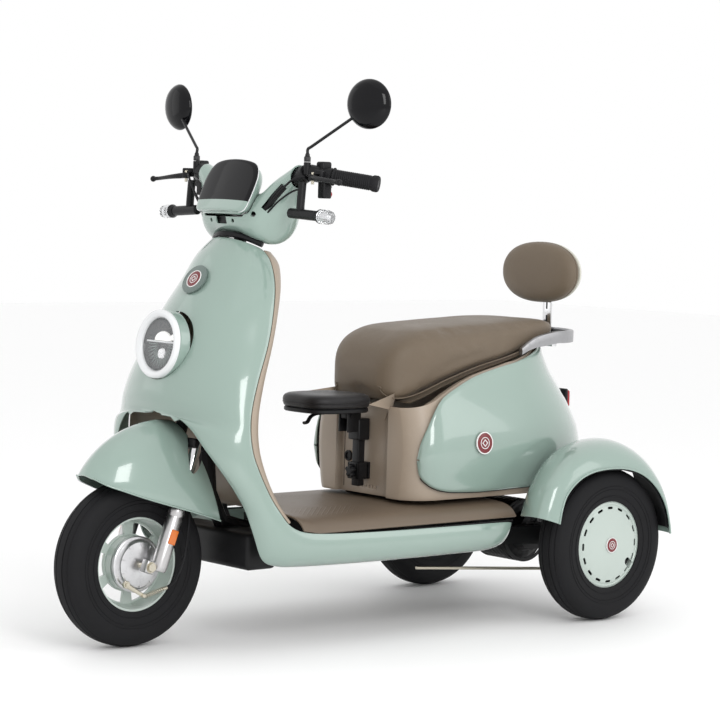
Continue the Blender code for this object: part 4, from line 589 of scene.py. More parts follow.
def headlight():
    at, r = fore(*lamp["at"]), lamp["radius"]
    housing = [(0, -0.06), (0.045, -0.056), (r - 0.004, -0.03), (r, -0.026), (r, -0.002), (r - 0.002, 0.0),
               (r - 0.006, 0.0), (r - 0.01, -0.004), (0.055, -0.012), (0.04, -0.02), (0, -0.022)]
    piece("lampHousing", spun(housing, at, lampAhead, 96), "mint", "chassis", "headlight")
    hoop = [(r - 0.0005, 0.0005), (r - 0.0003, 0.004), (r - 0.0015, 0.0095), (r - 0.0045, 0.0125),
            (r - 0.0095, 0.0125), (r - 0.015, 0.009), (r - 0.0185, 0.003), (r - 0.0175, 0.0005)]
    piece("lampRing", spun(hoop, at, lampAhead, 128), "ring", "chassis", (), 60)
    bowl = [(0.0575, 0.0015), (0.056, -0.003), (0.05, -0.008), (0.038, -0.0125), (0.0, -0.015)]
    cup = spun(bowl, at, lampAhead, lamp["ribs"] * 4, False)
    piece("lampBowl", faceFrom(cup, at - lampAhead * 0.5), "gloss", "chassis")
    turn = turned(lampAhead)
    ribs = []
    for i in range(lamp["ribs"]):
        angle = 2 * pi * i / lamp["ribs"]
        if sin(angle) * (1 if turn.to_3x3().col[1].z > 0 else -1) > 0.12:
            continue
        rib = brick((0.024, -0.001, -0.0125), (0.0545, 0.001, -0.007), 0.0004, 1)
        ribs.append(moved(rib, Matrix.Translation(at) @ turn @ Matrix.Rotation(angle, 4, "Z")))
    piece("lampRibs", joined(*ribs), "grey", "chassis")
    up = turn.to_3x3() @ yAxis
    if up.z < 0:
        up = -up
    right = up.cross(lampAhead)
    bar = tube([at + right * x + up * 0.006 - lampAhead * 0.0045 for x in (-0.053, -0.02, 0.02, 0.053)],
               0.0022, 12)
    dome = bmesh.new()
    bmesh.ops.create_uvsphere(dome, u_segments=40, v_segments=24, radius=1)
    bmesh.ops.scale(dome, vec=(0.03, 0.02, 0.0085), verts=dome.verts)
    bmesh.ops.bisect_plane(dome, geom=dome.verts[:] + dome.edges[:] + dome.faces[:], plane_co=(0, -0.001, 0),
                           plane_no=(0, -1, 0), clear_outer=True)
    bmesh.ops.holes_fill(dome, edges=dome.edges, sides=0)
    flipY = 1 if (turn.to_3x3() @ yAxis).z > 0 else -1
    moved(dome, Matrix.Translation(at + up * 0.01 - lampAhead * 0.0085) @ turn @ Matrix.Rotation(
        0 if flipY > 0 else pi, 4, "Z"))
    small = rod(at - up * 0.02 - lampAhead * 0.013, at - up * 0.02 - lampAhead * 0.006, 0.0135, 40, 0.003)
    side = rod(at + right * 0.036 + up * 0.018 - lampAhead * 0.012,
               at + right * 0.036 + up * 0.018 - lampAhead * 0.005, 0.007, 24, 0.002)
    piece("lampBar", bar, "ring", "chassis")
    piece("lampDome", joined(dome, side), "led", "chassis")
    piece("lampEye", small, "chrome", "chassis")
    glass = [(0.0588, 0.002), (0.05, 0.0052), (0.032, 0.008), (0.0, 0.0092), (0.0, 0.0082), (0.032, 0.007),
             (0.05, 0.0042), (0.058, 0.0012)]
    piece("lampGlass", spun(glass, at, lampAhead, 96), "pane", "chassis")


def badge(name, at, facing, size, body, plate=True):  # a plain round emblem with a raised diamond
    inner = size * (0.6 if plate else 1.0)
    if plate:
        base = [(0, -0.004), (size * 0.97, -0.004), (size, -0.001), (size, 0.001), (size * 0.97, 0.0018),
                (0, 0.002)]
        piece(name + "Plate", spun(base, at, facing, 72), "grey", body)
    rim = spun([(inner * 0.9, 0.0), (inner, 0.0), (inner, 0.0026), (inner * 0.98, 0.0032),
                (inner * 0.92, 0.0032), (inner * 0.9, 0.0026)], at, facing, 72)
    piece(name + "Ring", rim, "white", body)
    disc = spun([(0, -0.003), (inner * 0.91, -0.003), (inner * 0.91, 0.0024), (inner * 0.84, 0.0029),
                 (0, 0.0034)], at, facing, 64)
    piece(name + "Enamel", disc, "maroon", body)
    size = inner
    mark = bmesh.new()
    bmesh.ops.create_circle(mark, cap_ends=True, segments=4, radius=size * 0.34)
    hollow = bmesh.ops.inset_individual(mark, faces=mark.faces[:], thickness=size * 0.1)
    bmesh.ops.delete(mark, geom=[f for f in mark.faces if f not in hollow["faces"]], context="FACES_ONLY")
    solid = bmesh.ops.extrude_face_region(mark, geom=mark.faces[:])
    bmesh.ops.translate(mark, vec=(0, 0, 0.0012), verts=[v for v in solid["geom"]
                                                         if isinstance(v, bmesh.types.BMVert)])
    bmesh.ops.recalc_face_normals(mark, faces=mark.faces)
    circle = spun([(size * 0.47, 0.002), (size * 0.53, 0.002), (size * 0.53, 0.0036), (size * 0.47, 0.0036)],
                  Vector(), zAxis, 56)
    both = joined(moved(mark, Matrix.Translation((0, 0, 0.0026))), circle)
    piece(name + "Mark", moved(both, Matrix.Translation(at) @ turned(facing)), "white", body)


def fenderFront():
    table = [((0.0, -0.129, 0.386), (0.02, -0.13, 0.386), (0.03, -0.122, 0.38)),
             ((0.0, -0.115, 0.41), (0.045, -0.112, 0.404), (0.052, -0.1, 0.366)),
             ((0.0, -0.09, 0.436), (0.068, -0.084, 0.43), (0.07, -0.066, 0.353)),
             ((0.0, -0.06, 0.459), (0.086, -0.05, 0.453), (0.084, -0.024, 0.338)),
             ((0.0, -0.02, 0.48), (0.098, -0.01, 0.474), (0.094, 0.024, 0.323)),
             ((0.0, 0.02, 0.493), (0.106, 0.03, 0.487), (0.101, 0.072, 0.309)),
             ((0.0, 0.06, 0.5), (0.11, 0.07, 0.492), (0.105, 0.114, 0.296)),
             ((0.0, 0.088, 0.5), (0.112, 0.096, 0.49), (0.107, 0.146, 0.286)),
             ((0.0, 0.1, 0.499), (0.112, 0.112, 0.488), (0.107, 0.17, 0.278)),]
    rows = halfShell([[fore(*p) for p in row] for row in table], 6, 24)
    slots = [cutter(rod(forkPoint(side * 0.075, 0.02), forkPoint(side * 0.075, 0.31), 0.0202, 40))
             for side in (1, -1)]
    slots.append(cutter(moved(brick((-0.09, -0.0187, -0.0127), (0.09, 0.0187, 0.0127), 0.004),
                              Matrix.Translation(forkPoint(0, 0.28)) @ turned(forkUp))))
    panel("frontFender", mirrored(gridOf(rows)), "mint", "steering", "front_fender", fore(0, 0.02, 0.36),
          cuts=slots)
    bead = curl([fore(*row[2]) + Vector((0.0004, 0, 0.0018)) for row in table], 6)
    both = [tube(bead, 0.0021, 10), tube([Vector((-p.x, p.y, p.z)) for p in bead], 0.0021, 10)]
    piece("frontFenderBead", joined(*both), "mint", "steering")


legShield()
innerShield()
floorBoard()
splashBox()
headlight()
badge("shieldBadge", fore(0.003, 0.1655, 0.808) + Vector((0, -0.0055, 0.003)), Vector((0.03, -0.858, 0.513)),
      0.036, "chassis")
gasket = spun([(0.018, -0.004), (0.048, -0.004), (0.05, 0.0), (0.048, 0.004), (0.018, 0.004)], Vector(),
              zAxis, 64)
moved(gasket, Matrix.Translation(forkPoint(0, 0.742)) @ turned(forkUp) @ Matrix.Scale(1.5, 4, xAxis))
piece("headGasket", gasket, "black", "chassis")
fenderFront()
print("front body shaped")


# seat box, side covers, tail
box = {"tailStart": -0.172, "front": -0.506, "panelBack": 0.018, "slack": 0.01, "round": 0.075, "gap": 0.0045,
       "tailTop": 0.165}
# y, lower edge, upper edge of the side covers
coverEdges = [(-0.49, 0.388, 0.408), (-0.486, 0.366, 0.432), (-0.474, 0.347, 0.465), (-0.45, 0.331, 0.51),
              (-0.41, 0.321, 0.551), (-0.36, 0.317, 0.58), (-0.29, 0.315, 0.599), (-0.172, 0.318, 0.616)]
halfWidths = [(0.28, 0.19), (0.32, 0.202), (0.42, 0.212), (0.51, 0.198), (0.59, 0.172), (0.69, 0.15)]
tailLengths = [(0.28, 0.31), (0.42, 0.33), (0.51, 0.282), (0.59, 0.222), (0.69, 0.18)]
seatLine = [(-0.6, 0.521), (-0.5, 0.521), (-0.445, 0.535), (-0.39, 0.56), (-0.3, 0.594), (-0.17, 0.624),
            (-0.05, 0.662), (0.03, 0.684), (0.1, 0.69)]


def bodyHalf(y, z, extra=0.0):
    width = rung(z, halfWidths) + extra
    turnIn = box["front"] + box["round"]
    if y < turnIn:
        drop = (turnIn - y) / box["round"]
        return width - box["round"] + box["round"] * sqrt(max(0.0, 1 - drop * drop))
    return width


def tailPoint(angle, z, extra=0.0):
    width, length = rung(z, halfWidths) + extra, rung(z, tailLengths) + extra
    return aft(width * cos(angle), box["tailStart"] + length * sin(angle), z)


def seatBox():
    low, front = deck["top"] + 0.01, box["front"] + box["panelBack"]
    columns = [(x, front) for x in (0.0, 0.03, 0.06, 0.082)]
    columns += [(0.0865, front - 0.001), (0.0885, front - 0.005), (0.0905, box["front"] + 0.006),
                (0.0935, box["front"] + 0.0025)]
    for i in range(1, 15):
        angle = pi / 2 * i / 14
        columns.append((None, box["front"] + box["round"] * (1 - cos(angle)) + 0.002))
    columns += [(None, y) for y in (-0.405, -0.38, -0.34, -0.3, -0.26, -0.22, box["tailStart"])]
    tail = [pi / 2 * i / 22 for i in range(1, 23)]
    rows = []
    for share in (i / 28 for i in range(29)):
        row = []
        for x, y in columns:
            top = rung(y, seatLine) - box["gap"]
            z = low + (top - low) * share
            row.append(aft(bodyHalf(y, z, -box["slack"]) if x is None else x, y, z))
        for angle in tail:
            top = rung(box["tailStart"] + box["tailTop"] * sin(angle), seatLine) - box["gap"] - 0.002
            z = low + (top - low) * share
            row.append(tailPoint(angle, z, -box["slack"]))
            if angle > 1.57:
                row[-1].x = 0.0
        rows.append(row)
    lip = []
    for point in rows[-1]:
        inward = Vector((point.x * 0.9, point.y, point.z - 0.003))
        if inward.y < aft(0, box["front"] + 0.05, 0).y:
            inward.y += 0.012
        lip.append(inward)
    rows.append(lip)
    vents = [cutter(moved(brick((-0.0016, -0.02, -0.004), (0.0016, 0.02, 0.004), 0.0012, 2),
                          Matrix.Translation(aft(-0.045 + 0.012 * i, box["front"] + 0.01, 0.318))))
             for i in range(8)]
    panel("seatBox", mirrored(gridOf(rows)), "beige", "chassis", "seat_box", aft(0, -0.3, 0.45), cuts=vents)
    face = aft(0, front, 0)
    plugRing = spun([(0.0, 0.0), (0.013, 0.0), (0.013, 0.003), (0.011, 0.004), (0.0085, 0.004),
                     (0.0085, 0.001), (0, 0.001)], Vector((-0.062, face.y, 0.385)), -yAxis, 32)
    piece("chargeSocket", plugRing, "black", "chassis")
    lines = [brick((x - 0.0007, face.y - 0.0008, 0.312), (x + 0.0007, face.y + 0.001, 0.535), 0.0003, 1)
             for x in (-0.078, 0.078)]
    piece("boxFrontSeams", joined(*lines), "black", "chassis")


def sideCover(side, name, node):
    front = coverEdges[0][0]
    lower = [(y, low) for y, low, _ in coverEdges]
    upper = [(y, high) for y, _, high in coverEdges]
    stations = [(None, front + step) for step in (0.0, 0.0006, 0.002, 0.005, 0.009, 0.014, 0.02, 0.028, 0.04,
                                                  0.055, 0.073, 0.095, 0.12, 0.15, 0.18, 0.21, 0.25, 0.285,
                                                  0.318)]
    stations += [(radians(88.7 * i / 18), None) for i in range(1, 19)]
    shares = [0, 0.012, 0.03, 0.06, 0.1, 0.15, 0.2, 0.3, 0.4, 0.5, 0.6, 0.7, 0.8, 0.87, 0.93, 0.97, 0.988,
              1.0]
    rows = []
    for angle, y in stations:
        at = y if y is not None else box["tailStart"] + box["tailTop"] * sin(angle)
        high = rung(at, seatLine) - box["gap"] - (0.001 if angle is None else 0.003)
        top = high if angle is not None else min(high, rung(y, upper))
        low = rung(box["tailStart"] if y is None else y, lower)
        if y is not None and y < front + 0.004:
            mid, reach = 0.398, sqrt(1 - (1 - (y - front) / 0.004) ** 2)
            low, top = mid - max(0.002, (mid - low) * reach), mid + max(0.002, (top - mid) * reach)
        row = []
        for share in shares:
            z = low + (top - low) * share
            lip = 0.0035 * (1 - min(1.0, min(share, 1 - share) / 0.03)) ** 2
            puff = 0.004 + 0.006 * sin(pi * share) - lip
            point = aft(bodyHalf(y, z, puff), y, z) if angle is None else tailPoint(angle, z, puff)
            row.append(Vector((side * point.x, point.y, point.z)))
        rows.append(row)
    panel(name, gridOf(rows), "mint", "chassis", node, aft(0, -0.2, 0.45), 0.0028)
    # a thin black tube tucked just inside and under the cover's lower edge: a painted shadow line
    shadowLine = curl([row[0] + Vector((-side * 0.003, 0, -0.001)) for row in rows[4:]], 2)
    piece(name + "Shadow", tube(shadowLine, 0.0011, 8), "black", "chassis")
    y, z = -0.314, 0.434
    at = aft(side * bodyHalf(y, z, 0.0095), y, z)
    slope = (rung(z + 0.01, halfWidths) - rung(z - 0.01, halfWidths)) / 0.02
    badge(f"{name}Badge", at + Vector((side * 0.0035, 0, 0)), Vector((side, 0, -slope)), 0.0265, "chassis",
          False)


def tailLamp():
    low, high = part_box("tail_light")
    body = brick(low, high, 0.006, 4)
    piece("tailLampLens", body, "red", "chassis", "tail_light")
    rim = brick((low.x - 0.004, low.y - 0.004, low.z - 0.004),
                (high.x + 0.004, low.y + 0.006, high.z + 0.004), 0.004, 3)
    piece("tailLampBase", rim, "black", "chassis")


# rear mudguards
guard = {"inner": 0.262, "outer": 0.372}


def rearFender(side, name, node):
    crown = [(162, 0.312, 0.217, 0.075), (153, 0.316, 0.2235, 0.077), (143, 0.314, 0.228, 0.071),
             (130, 0.302, 0.221, 0.053), (116, 0.286, 0.207, 0.034), (98, 0.271, 0.192, 0.02),
             (80, 0.262, 0.187, 0.01), (62, 0.252, 0.186, 0.006), (44, 0.238, 0.185, 0.006),
             (28, 0.222, 0.184, 0.005), (14, 0.206, 0.182, 0.004), (6, 0.194, 0.182, 0.004)]
    table = []
    for degrees, outer, opening, tuck in crown:
        angle = radians(degrees)
        spoke = Vector((0, cos(angle), sin(angle)))
        table.append((rearHub + spoke * (outer - tuck) + xAxis * guard["inner"],
                      rearHub + spoke * (outer + 0.004) + xAxis * guard["outer"],
                      rearHub + spoke * opening + xAxis * (guard["outer"] + 0.004)))
    rows = [arcRow(*row, 20) for row in refined(table, 5)]
    for row in rows:
        for point in row:
            point.x *= side
    inside = Vector((side * 0.27, rearHub.y, rearHub.z + 0.05))
    panel(name, gridOf(rows), "mint", "chassis", node, inside)
    bead = [row[-1] + Vector((side * 0.0002, 0, 0)) for row in rows]
    piece(name + "Bead", tube(bead, 0.0024, 10), "mint", "chassis")
    liner = []
    for row in rows[::4]:
        liner.append([point + (inside - point).normalized() * 0.006 for point in row])
    panel(name + "Liner", gridOf(liner), "black", "chassis", (), inside, 0.0015, 0)


# rail, backrest
rail = {"half": 0.162, "thick": 0.012, "tall": 0.03, "z": 0.676, "reach": 0.124}


def grabRail():
    turn, reach, full = -0.02, rail["reach"] - rail["thick"] / 2, rail["tall"] / 2
    path = [(rail["half"], -0.142, 0.6425, 0.008), (rail["half"], -0.12, 0.654, 0.01),
            (rail["half"], -0.09, 0.665, 0.013), (rail["half"], -0.055, 0.671, full)]
    for degrees in range(0, 91, 10):
        angle = radians(degrees)
        path.append((rail["half"] * cos(angle), turn + (reach - turn) * sin(angle), rail["z"], full))
    line = curl([(x, y, z) for x, y, z, _ in path], 3)
    tall = [v.x for v in curl([(t, 0, 0) for _, _, _, t in path], 3)]
    line += [Vector((-p.x, p.y, p.z)) for p in reversed(line[:-1])]
    tall += list(reversed(tall[:-1]))
    outer, lining = [], []
    for i, (p, t) in enumerate(zip(line, tall)):
        before, after = line[max(i - 1, 0)], line[min(i + 1, len(line) - 1)]
        ahead = Vector((after.x - before.x, after.y - before.y, 0)).normalized()
        out = Vector((ahead.y, -ahead.x, 0))
        if out.dot(Vector((p.x, p.y + 0.05, 0))) < 0:
            out = -out
        mid, half = aft(*p), rail["thick"] / 2
        section = [(half, -t + 0.003), (half - 0.0008, -t + 0.0008), (half - 0.003, -t), (-half + 0.002, -t),
                   (-half + 0.001, -t + 0.004), (-half + 0.001, t - 0.004), (-half + 0.002, t),
                   (half - 0.003, t), (half - 0.0008, t - 0.0008), (half, t - 0.003), (half, -t + 0.003)]
        outer.append([mid + out * a + zAxis * b for a, b in section])
        slot = [(-half + 0.0012, -t + 0.004), (-half - 0.0002, -t + 0.006), (-half - 0.0002, t - 0.006),
                (-half + 0.0012, t - 0.004), (-half + 0.0012, -t + 0.004)]
        lining.append([mid + out * a + zAxis * b for a, b in slot])
    piece("grabRail", gridOf(outer, True), "rail", "chassis", "grab_rail", 30)
    piece("railLining", gridOf(lining, True), "black", "chassis")
    ears = []
    for side in (1, -1):
        x = sorted((side * 0.101, side * 0.144))
        ears.append(brick(aft(x[0], 0.033, 0.6665), aft(x[1], 0.051, 0.6735), 0.002))
    piece("railEars", joined(*ears), "frame", "chassis")


def backrestParts():
    low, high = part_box("backrest_cushion")
    at = (low + high) / 2
    halfX, halfZ = (high.x - low.x) / 2, (high.z - low.z) / 2

    def oval(share, y, power=0.9, count=72):
        ring = []
        for k in range(count + 1):
            angle = 2 * pi * k / count
            c, s = cos(angle), sin(angle)
            ring.append(Vector((at.x + halfX * share * bulge(c, power), y,
                                at.z + halfZ * max(share * 0.9, 1 - (1 - share) * 1.1) * bulge(s, power))))
        return ring

    back, front = high.y, low.y
    deep = back - front
    steps = [(0.02, 0.0), (0.3, 0.006), (0.55, 0.03), (0.74, 0.085), (0.86, 0.17), (0.94, 0.29),
             (0.985, 0.45), (0.998, 0.6), (0.99, 0.72), (0.972, 0.76), (0.984, 0.8), (0.972, 0.92),
             (0.9, 1.0), (0.5, 1.0), (0.02, 1.0)]
    pad = gridOf([oval(share, front + deep * along) for share, along in steps], True)
    cushion = piece("backrestPad", pad, "seat", "chassis", "backrest_cushion", 60)
    welt = oval(0.987, front + deep * 0.76)
    piece("backrestWelt", tube(welt, 0.0013, 8), "seat", "chassis")
    low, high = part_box("backrest_shell")
    deep = high.y - low.y
    steps = [(0.02, 0.0), (0.95, 0.0), (0.985, 0.1), (0.99, 0.3), (0.97, 0.62), (0.92, 0.84), (0.8, 0.97),
             (0.5, 1.0), (0.02, 1.0)]
    piece("backrestShell", gridOf([oval(s, low.y + deep * a, 0.95) for s, a in steps], True), "cream",
          "chassis", "backrest_shell", 60)
    low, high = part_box("backrest_bracket")
    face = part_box("backrest_shell")[1].y + 0.0006
    upright = brick((-0.015, face, 0.656), (0.015, face + 0.005, 0.8), 0.0016)
    foot = brick((-0.023, face, low.z), (0.023, high.y, 0.66), 0.002)
    slot = [brick((-0.004, face - 0.0002, z), (0.004, face + 0.0053, z + 0.022), 0.002) for z in (0.7, 0.735)]
    piece("backrestUpright", joined(upright, foot), "chrome", "chassis", "backrest_bracket")
    piece("uprightSlots", joined(*slot), "black", "chassis")
    bolts = [rod((x, face + 0.005, z), (x, face + 0.0085, z), 0.005, 6, 0.0005) for x,
             z in ((0, 0.772), (0, 0.787), (0, 0.668))]
    piece("uprightBolts", joined(*bolts), "zinc", "chassis")


# saddle
saddle = [(-0.52, 0.072, 0.554, 0.602), (-0.513, 0.094, 0.532, 0.628), (-0.498, 0.113, 0.524, 0.654),
          (-0.474, 0.127, 0.525, 0.675), (-0.442, 0.138, 0.536, 0.688), (-0.405, 0.146, 0.553, 0.695),
          (-0.365, 0.151, 0.57, 0.699), (-0.28, 0.154, 0.598, 0.704), (-0.18, 0.153, 0.622, 0.709),
          (-0.09, 0.149, 0.649, 0.713), (-0.02, 0.138, 0.67, 0.713), (0.012, 0.12, 0.679, 0.71),
          (0.024, 0.1, 0.685, 0.704)]


def saddleRing(station, shrink=0.0, count=64):
    y, half, low, high = station
    half, low, high = half - shrink, low + shrink, high - shrink
    ring = []
    for k in range(count + 1):
        angle = 2 * pi * (k + 0.5) / count
        c, s = cos(angle), sin(angle)
        soft = 0.46 if s > 0 else 0.3
        ring.append(aft(half * bulge(c, 0.46), y, (low + high) / 2 + (high - low) / 2 * bulge(s, soft)))
    return ring


def saddleParts():
    stations = [tuple(v.to_tuple()) + (high,) for v, high in
                zip(curl([(y, half, low) for y, half, low, _ in saddle], 6),
                    [v.x for v in curl([(high, 0, 0) for _, _, _, high in saddle], 6)])]
    rows = [saddleRing(station, 0.0012) for station in stations]
    pad = gridOf(rows, True)
    cushion = piece("saddlePad", pad, "seat", "seat", "seat_cushion", 60)
    puff(cushion, 0.005, 0.006, 3.0)
    welt = []
    for y, half, bottom, top in stations[2:-2]:
        z = bottom + (top - bottom) * 0.1
        welt.append(aft(half * 1.002 + 0.0002, y, z))
    line = [Vector((-p.x, p.y, p.z)) for p in reversed(welt)]
    nose = saddle[0][0], saddle[0][2]
    front = curl([line[-1], aft(-0.075, nose[0] + 0.001, nose[1] + 0.008),
                  aft(0, nose[0] - 0.001, nose[1] + 0.009), aft(0.075, nose[0] + 0.001, nose[1] + 0.008),
                  welt[0]], 8)
    piece("saddleWelt", tube(line + front[1:-1] + welt, 0.0014, 8), "seat", "seat")
    base = []
    for y, half, bottom, top in stations[20:-10:3]:
        inset = half - 0.006
        base.append([aft(inset, y, bottom - 0.0006), aft(-inset, y, bottom - 0.0006),
                     aft(-inset + 0.002, y, bottom - 0.0033), aft(inset - 0.002, y, bottom - 0.0033),
                     aft(inset, y, bottom - 0.0006)])
    piece("saddleBase", gridOf(base, True), "seat", "seat", "seat_base", 30)
    hinge = [rod(aft(x - 0.018, -0.497, 0.5185), aft(x + 0.018, -0.497, 0.5185), 0.0034, 20, 0.0006)
             for x in (-0.05, 0.05)]
    piece("saddleHinge", joined(*hinge), "zinc", "seat")


def puff(made, voxel, cap, pressure):  # foam swells its cover: cloth under pressure, then held to a limit
    mesh = made.data
    before = made.copy()
    before.data = mesh.copy()
    bpy.context.scene.collection.objects.link(before)
    before.parent = None
    remesh = before.modifiers.new("even", "REMESH")
    remesh.mode, remesh.voxel_size = "VOXEL", voxel
    settle(before)
    rest = [v.co.copy() for v in before.data.vertices]
    cloth = before.modifiers.new("cloth", "CLOTH")
    cloth.settings.use_pressure = True
    cloth.settings.uniform_pressure_force = pressure
    cloth.settings.effector_weights.gravity = 0
    cloth.settings.quality = 5
    cloth.point_cache.frame_end = 20
    scene = bpy.context.scene
    for number in range(1, 21):
        scene.frame_set(number)
    graph = bpy.context.evaluated_depsgraph_get()
    swollen = bpy.data.meshes.new_from_object(before.evaluated_get(graph))
    for vert, start in zip(swollen.vertices, rest):
        push = vert.co - start
        if push.length > cap:
            push *= cap / push.length
        vert.co = start + push
    before.modifiers.clear()
    before.data = swollen
    even = before.modifiers.new("even", "SMOOTH")
    even.iterations, even.factor = 6, 0.5
    settle(before)
    finer = before.modifiers.new("finer", "SUBSURF")
    finer.levels = finer.render_levels = 1
    settle(before)
    look = mesh.materials[0]
    made.data = before.data
    made.data.materials.clear()
    made.data.materials.append(look)
    made.data.shade_smooth()
    bpy.data.objects.remove(before)
    scene.frame_set(1)


# child seat
child = {"hinge": (0.0, -0.552, 0.49), "y": -0.616, "half": (0.085, 0.092), "base": 0.502, "postY": -0.512,
         "knob": 0.357}


def softSquare(grow, z, power=0.62, count=72):
    at, ring = aft(0, child["y"], z), []
    for k in range(count + 1):
        angle = 2 * pi * (k + 0.5) / count
        c, s = cos(angle), sin(angle)
        ring.append(at + Vector(((child["half"][0] + grow) * bulge(c, power),
                                 (child["half"][1] + grow) * bulge(s, power), 0)))
    return ring


def childSeat():
    base, top = child["base"], child["base"] + 0.0106
    plate = [softSquare(grow, z) for grow, z in ((-0.08, base + 0.003), (-0.012, base + 0.003), (-0.01, base),
                                                 (-0.004, base), (-0.002, base + 0.002),
                                                 (-0.002, base + 0.008), (-0.004, base + 0.01),
                                                 (-0.08, base + 0.01))]
    ribs = [brick(aft(x - 0.001, child["y"] - 0.07, base - 0.001),
                  aft(x + 0.001, child["y"] + 0.055, base + 0.004), 0.0004, 1)
            for x in (-0.05, -0.025, 0.025, 0.05)]
    ear = brick(aft(-0.0115, -0.561, 0.481), aft(0.0115, -0.543, 0.5045), 0.004)
    piece("childPlate", joined(gridOf(plate, True), ear, *ribs), "black", "child_seat", "child_seat_base")
    pads = [(-0.083, 0.0), (-0.01, 0.0), (-0.003, 0.0012), (-0.0005, 0.005), (0.0, 0.009), (-0.0012, 0.0105),
            (0.0006, 0.012), (0.0012, 0.017), (0.0004, 0.022), (-0.003, 0.0275), (-0.01, 0.031),
            (-0.022, 0.0325), (-0.04, 0.032), (-0.06, 0.031), (-0.0835, 0.0305)]
    cushion = piece("childPad", gridOf([softSquare(grow, top + z) for grow, z in pads], True), "childSeat",
                    "child_seat", "child_seat_cushion", 60)
    piece("childWelt", tube(softSquare(0.0004, top + 0.0105), 0.0012, 8), "childSeat", "child_seat")
    at, half = aft(0, child["postY"], 0), 0.011
    post = brick(at + Vector((-half, -half, 0.32)), at + Vector((half, half, 0.47)), 0.0025)
    head = brick(at + Vector((-0.02, -0.018, 0.43)), at + Vector((0.02, 0.018, 0.482)), 0.004)
    hinge = aft(*child["hinge"])
    cheeks = []
    for side in (1, -1):
        x = sorted((side * 0.013, side * 0.018))
        cheeks.append(brick((x[0], hinge.y - 0.01, hinge.z - 0.04), (x[1], at.y - 0.01, hinge.z + 0.005),
                            0.0012))
        cheeks.append(rod((side * 0.018, hinge.y, hinge.z), (side * 0.022, hinge.y, hinge.z), 0.005, 6,
                          0.0006))
    cheeks.append(rod((-0.02, hinge.y, hinge.z), (0.02, hinge.y, hinge.z), 0.003, 16))
    piece("childPost", joined(post, head, *cheeks), "frame", "child_column", "child_post")
    latch = aft(0, child["y"] - 0.03, base - 0.006)
    blade = curl([latch + Vector(p) for p in ((0, 0.022, 0.001), (0, 0, 0), (0, -0.016, -0.006),
                                              (0, -0.026, -0.018), (0, -0.036, -0.02))], 6)
    piece("childLatch", tube(blade, 0.0038, 14, 1.6), "black", "child_latch", "child_seat_latch")
    sock, z = half + 0.007, child["knob"]
    wall = aft(0, box["front"] + box["panelBack"] - 0.0006, 0).y
    bars = [brick(at + Vector((-sock, -sock, z - 0.02)), at + Vector((-half - 0.0006, sock, z + 0.02)),
                  0.002), brick(at + Vector((half + 0.0006, -sock, z - 0.02)),
                                at + Vector((sock, sock, z + 0.02)), 0.002),
            brick(at + Vector((-sock, -sock, z - 0.02)), at + Vector((sock, -half - 0.0006, z + 0.02)),
                  0.002), brick((-sock, at.y + half + 0.0006, z - 0.02), (sock, wall, z + 0.02), 0.0015)]
    piece("postSocket", joined(*bars), "frame", "chassis", "child_post_socket")
    knobAt = at + Vector((0, -sock - 0.0006, z))
    lobes = [rod(knobAt, knobAt + Vector((0, -0.0105, 0)), 0.0105, 40, 0.002)]
    for i in range(5):
        angle = 2 * pi * i / 5 + pi / 2
        lobe = knobAt + Vector((0.011 * cos(angle), 0, 0.011 * sin(angle)))
        lobes.append(rod(lobe, lobe + Vector((0, -0.0095, 0)), 0.0056, 24, 0.002))
    piece("starKnob", joined(*lobes), "black", "post_clamp", "clamp_knob")


seatBox()
sideCover(1, "sideCoverLeft", "side_cover_left")
sideCover(-1, "sideCoverRight", "side_cover_right")
tailLamp()
rearFender(1, "rearFenderLeft", "rear_fender_left")
rearFender(-1, "rearFenderRight", "rear_fender_right")
grabRail()
backrestParts()
saddleParts()
childSeat()
print("rear body and seats shaped")


# wheels
tyreShape = [(0.024, 0.1035), (0.033, 0.105), (0.0355, 0.113), (0.0375, 0.1265), (0.04, 0.14), (0.0408, 0.15),
             (0.04, 0.1605), (0.0375, 0.169), (0.033, 0.1755), (0.0262, 0.1796), (0.025, 0.179),
             (0.0225, 0.1792), (0.02, 0.1822), (0.013, 0.1842), (0.0122, 0.1818), (0.0102, 0.1818),
             (0.0094, 0.1846), (0.0, 0.185)]


def tyre(name, node, body, hub):
    profile = [(r, -x) for x, r in tyreShape] + [(r, x) for x, r in reversed(tyreShape[:-1])]
    profile += [(0.1, 0.02), (0.1, -0.02)]
    made = piece(name, spun(profile, hub, xAxis, 160), "tyre", body, node, 40)
    rings = []
    for side in (1, -1):
        for r, x in ((0.1345, 0.0395), (0.142, 0.0406), (0.1178, 0.0368)):
            rings.append(spun([(r + 0.0012 * cos(a), x + 0.0009 * sin(a))
                               for a in (2 * pi * k / 6 for k in range(6))], hub, xAxis * side, 96))
    piece(name + "Lines", joined(*rings), "tyre", body)
    return made


